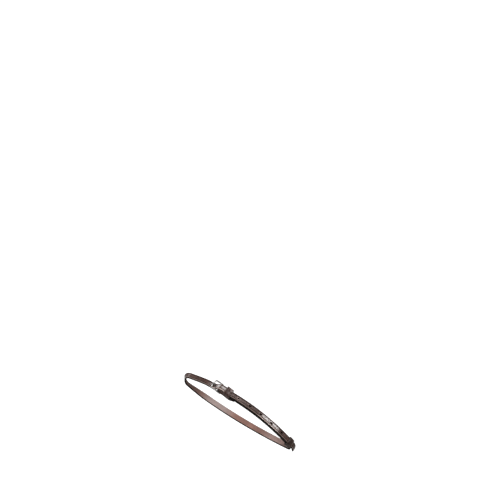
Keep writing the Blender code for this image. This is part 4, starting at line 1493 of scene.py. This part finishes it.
def add_lamp(scene, name, target, way, sides, power):
    """Rectangular lamp that looks at the target from a way off."""
    data = bpy.data.lights.new(name, "AREA")
    data.shape = "RECTANGLE"
    data.size, data.size_y = sides
    data.energy = power
    lamp = bpy.data.objects.new(name, data)
    way = Vector(way).normalized()
    lamp.location = target + way * scene.stage_settings.lamp_distance
    lamp.rotation_euler = way.to_track_quat("Z", "Y").to_euler()
    scene.collection.objects.link(lamp)


def make_lamps(scene):
    """One large soft lamp, a weak fill and four small ones that the waxed grain mirrors."""
    stage = scene.stage_settings
    soft = (stage.key_size, stage.key_size)
    small = (stage.sheen_length, stage.sheen_width)
    wide = (WIDE_SHEEN * stage.sheen_length, stage.sheen_width)
    tall = (stage.sheen_length, TALL_SHEEN * stage.sheen_length)
    holes = lay_in_loop(on_arc(NEAR_RADIUS, math.radians(SHEEN_HOLES_DEG)), 0.0)
    # Name, what it lights, way to it, its sides, and its power in watts
    lamps = (
        ("key", HEEL_BAR, (-0.35, -0.25, 0.90), soft, 5.5),
        ("fill", HEEL_BAR, (0.80, -0.55, 0.35), soft, 3.0),
        ("sheen_buckle", HEEL_BAR, (-0.13, 0.655, 0.73), wide, 8.5),
        ("sheen_rise", HEEL_BAR, (-0.72, 0.65, 0.18), tall, 6.0),
        ("top", HEEL_BAR, (0.05, -0.30, 0.95), small, 3.4),
        ("sheen_holes", holes, (0.29, 0.655, 0.70), small, 5.8),
    )
    for name, target, way, sides, power in lamps:
        add_lamp(scene, name, target, way, sides, power)


def make_camera(scene):
    """Camera, placed from the centre of the buckled run's arc, and the plain view transform."""
    stage = scene.stage_settings
    back = Vector(stage.camera_back).normalized()
    right = Vector(stage.camera_up).cross(back).normalized()
    data = bpy.data.cameras.new("camera")
    data.sensor_width = SENSOR_MM
    data.lens = stage.lens
    data.clip_start = CLIP_START
    camera = bpy.data.objects.new("camera", data)
    turned = Matrix((right, back.cross(right), back)).transposed().to_4x4()
    camera.matrix_world = Matrix.Translation(RUN_CENTRE + Vector(stage.camera_place)) @ turned
    scene.collection.objects.link(camera)
    scene.camera = camera
    scene.view_settings.view_transform = "Standard"


class NOSESTRAP_OT_strap(bpy.types.Operator):
    """Make the leather strap with its holes, slot and point"""

    bl_idname = "nosestrap.strap"
    bl_label = "Strap"

    def execute(self, context):
        make_strap(context.scene)
        return {"FINISHED"}


class NOSESTRAP_OT_stitches(bpy.types.Operator):
    """Sew the turned-back end with two rows of thread"""

    bl_idname = "nosestrap.stitches"
    bl_label = "Stitches"

    def execute(self, context):
        make_stitches(context.scene)
        return {"FINISHED"}


class NOSESTRAP_OT_keepers(bpy.types.Operator):
    """Make the fixed and the sliding keeper"""

    bl_idname = "nosestrap.keepers"
    bl_label = "Keepers"

    def execute(self, context):
        make_fixed_keeper(context.scene)
        make_sliding_keeper(context.scene)
        return {"FINISHED"}


class NOSESTRAP_OT_buckle(bpy.types.Operator):
    """Make the buckle's frame and its tongue"""

    bl_idname = "nosestrap.buckle"
    bl_label = "Buckle"

    def execute(self, context):
        make_frame(context.scene)
        make_tongue(context.scene)
        return {"FINISHED"}


class NOSESTRAP_OT_stage(bpy.types.Operator):
    """Set up the floor, the white surroundings, the lamps and the camera"""

    bl_idname = "nosestrap.stage"
    bl_label = "Stage"

    def execute(self, context):
        make_floor(context.scene)
        make_world(context.scene)
        make_lamps(context.scene)
        make_camera(context.scene)
        return {"FINISHED"}


class NOSESTRAP_PT_panel(bpy.types.Panel):
    """Sizes, colours and the pieces that can be made from them"""

    bl_label = "Nose strap"
    bl_idname = "NOSESTRAP_PT_panel"
    bl_space_type = "VIEW_3D"
    bl_region_type = "UI"
    bl_category = "Nose strap"

    def draw(self, context):
        for name in SETTINGS:
            box = self.layout.box()
            group = getattr(context.scene, name)
            for setting in group.bl_rna.properties:
                if setting.identifier not in ("name", "rna_type"):
                    box.prop(group, setting.identifier)
        for operator in OPERATORS:
            self.layout.operator(operator.bl_idname)


OPERATORS = (
    NOSESTRAP_OT_strap, NOSESTRAP_OT_stitches, NOSESTRAP_OT_keepers, NOSESTRAP_OT_buckle, NOSESTRAP_OT_stage)


def register():
    """Register the settings, the operators and the panel"""
    for group in (*SETTINGS.values(), *OPERATORS, NOSESTRAP_PT_panel):
        bpy.utils.register_class(group)
    for name, group in SETTINGS.items():
        setattr(bpy.types.Scene, name, bpy.props.PointerProperty(type=group))


def unregister():
    """Take them all out again"""
    for name in SETTINGS:
        delattr(bpy.types.Scene, name)
    for group in reversed((*SETTINGS.values(), *OPERATORS, NOSESTRAP_PT_panel)):
        bpy.utils.unregister_class(group)


def main():
    """Makes every piece and the stage."""
    register()
    bpy.ops.nosestrap.strap()
    bpy.ops.nosestrap.stitches()
    bpy.ops.nosestrap.keepers()
    bpy.ops.nosestrap.buckle()
    bpy.ops.nosestrap.stage()


if __name__ == "__main__":
    main()
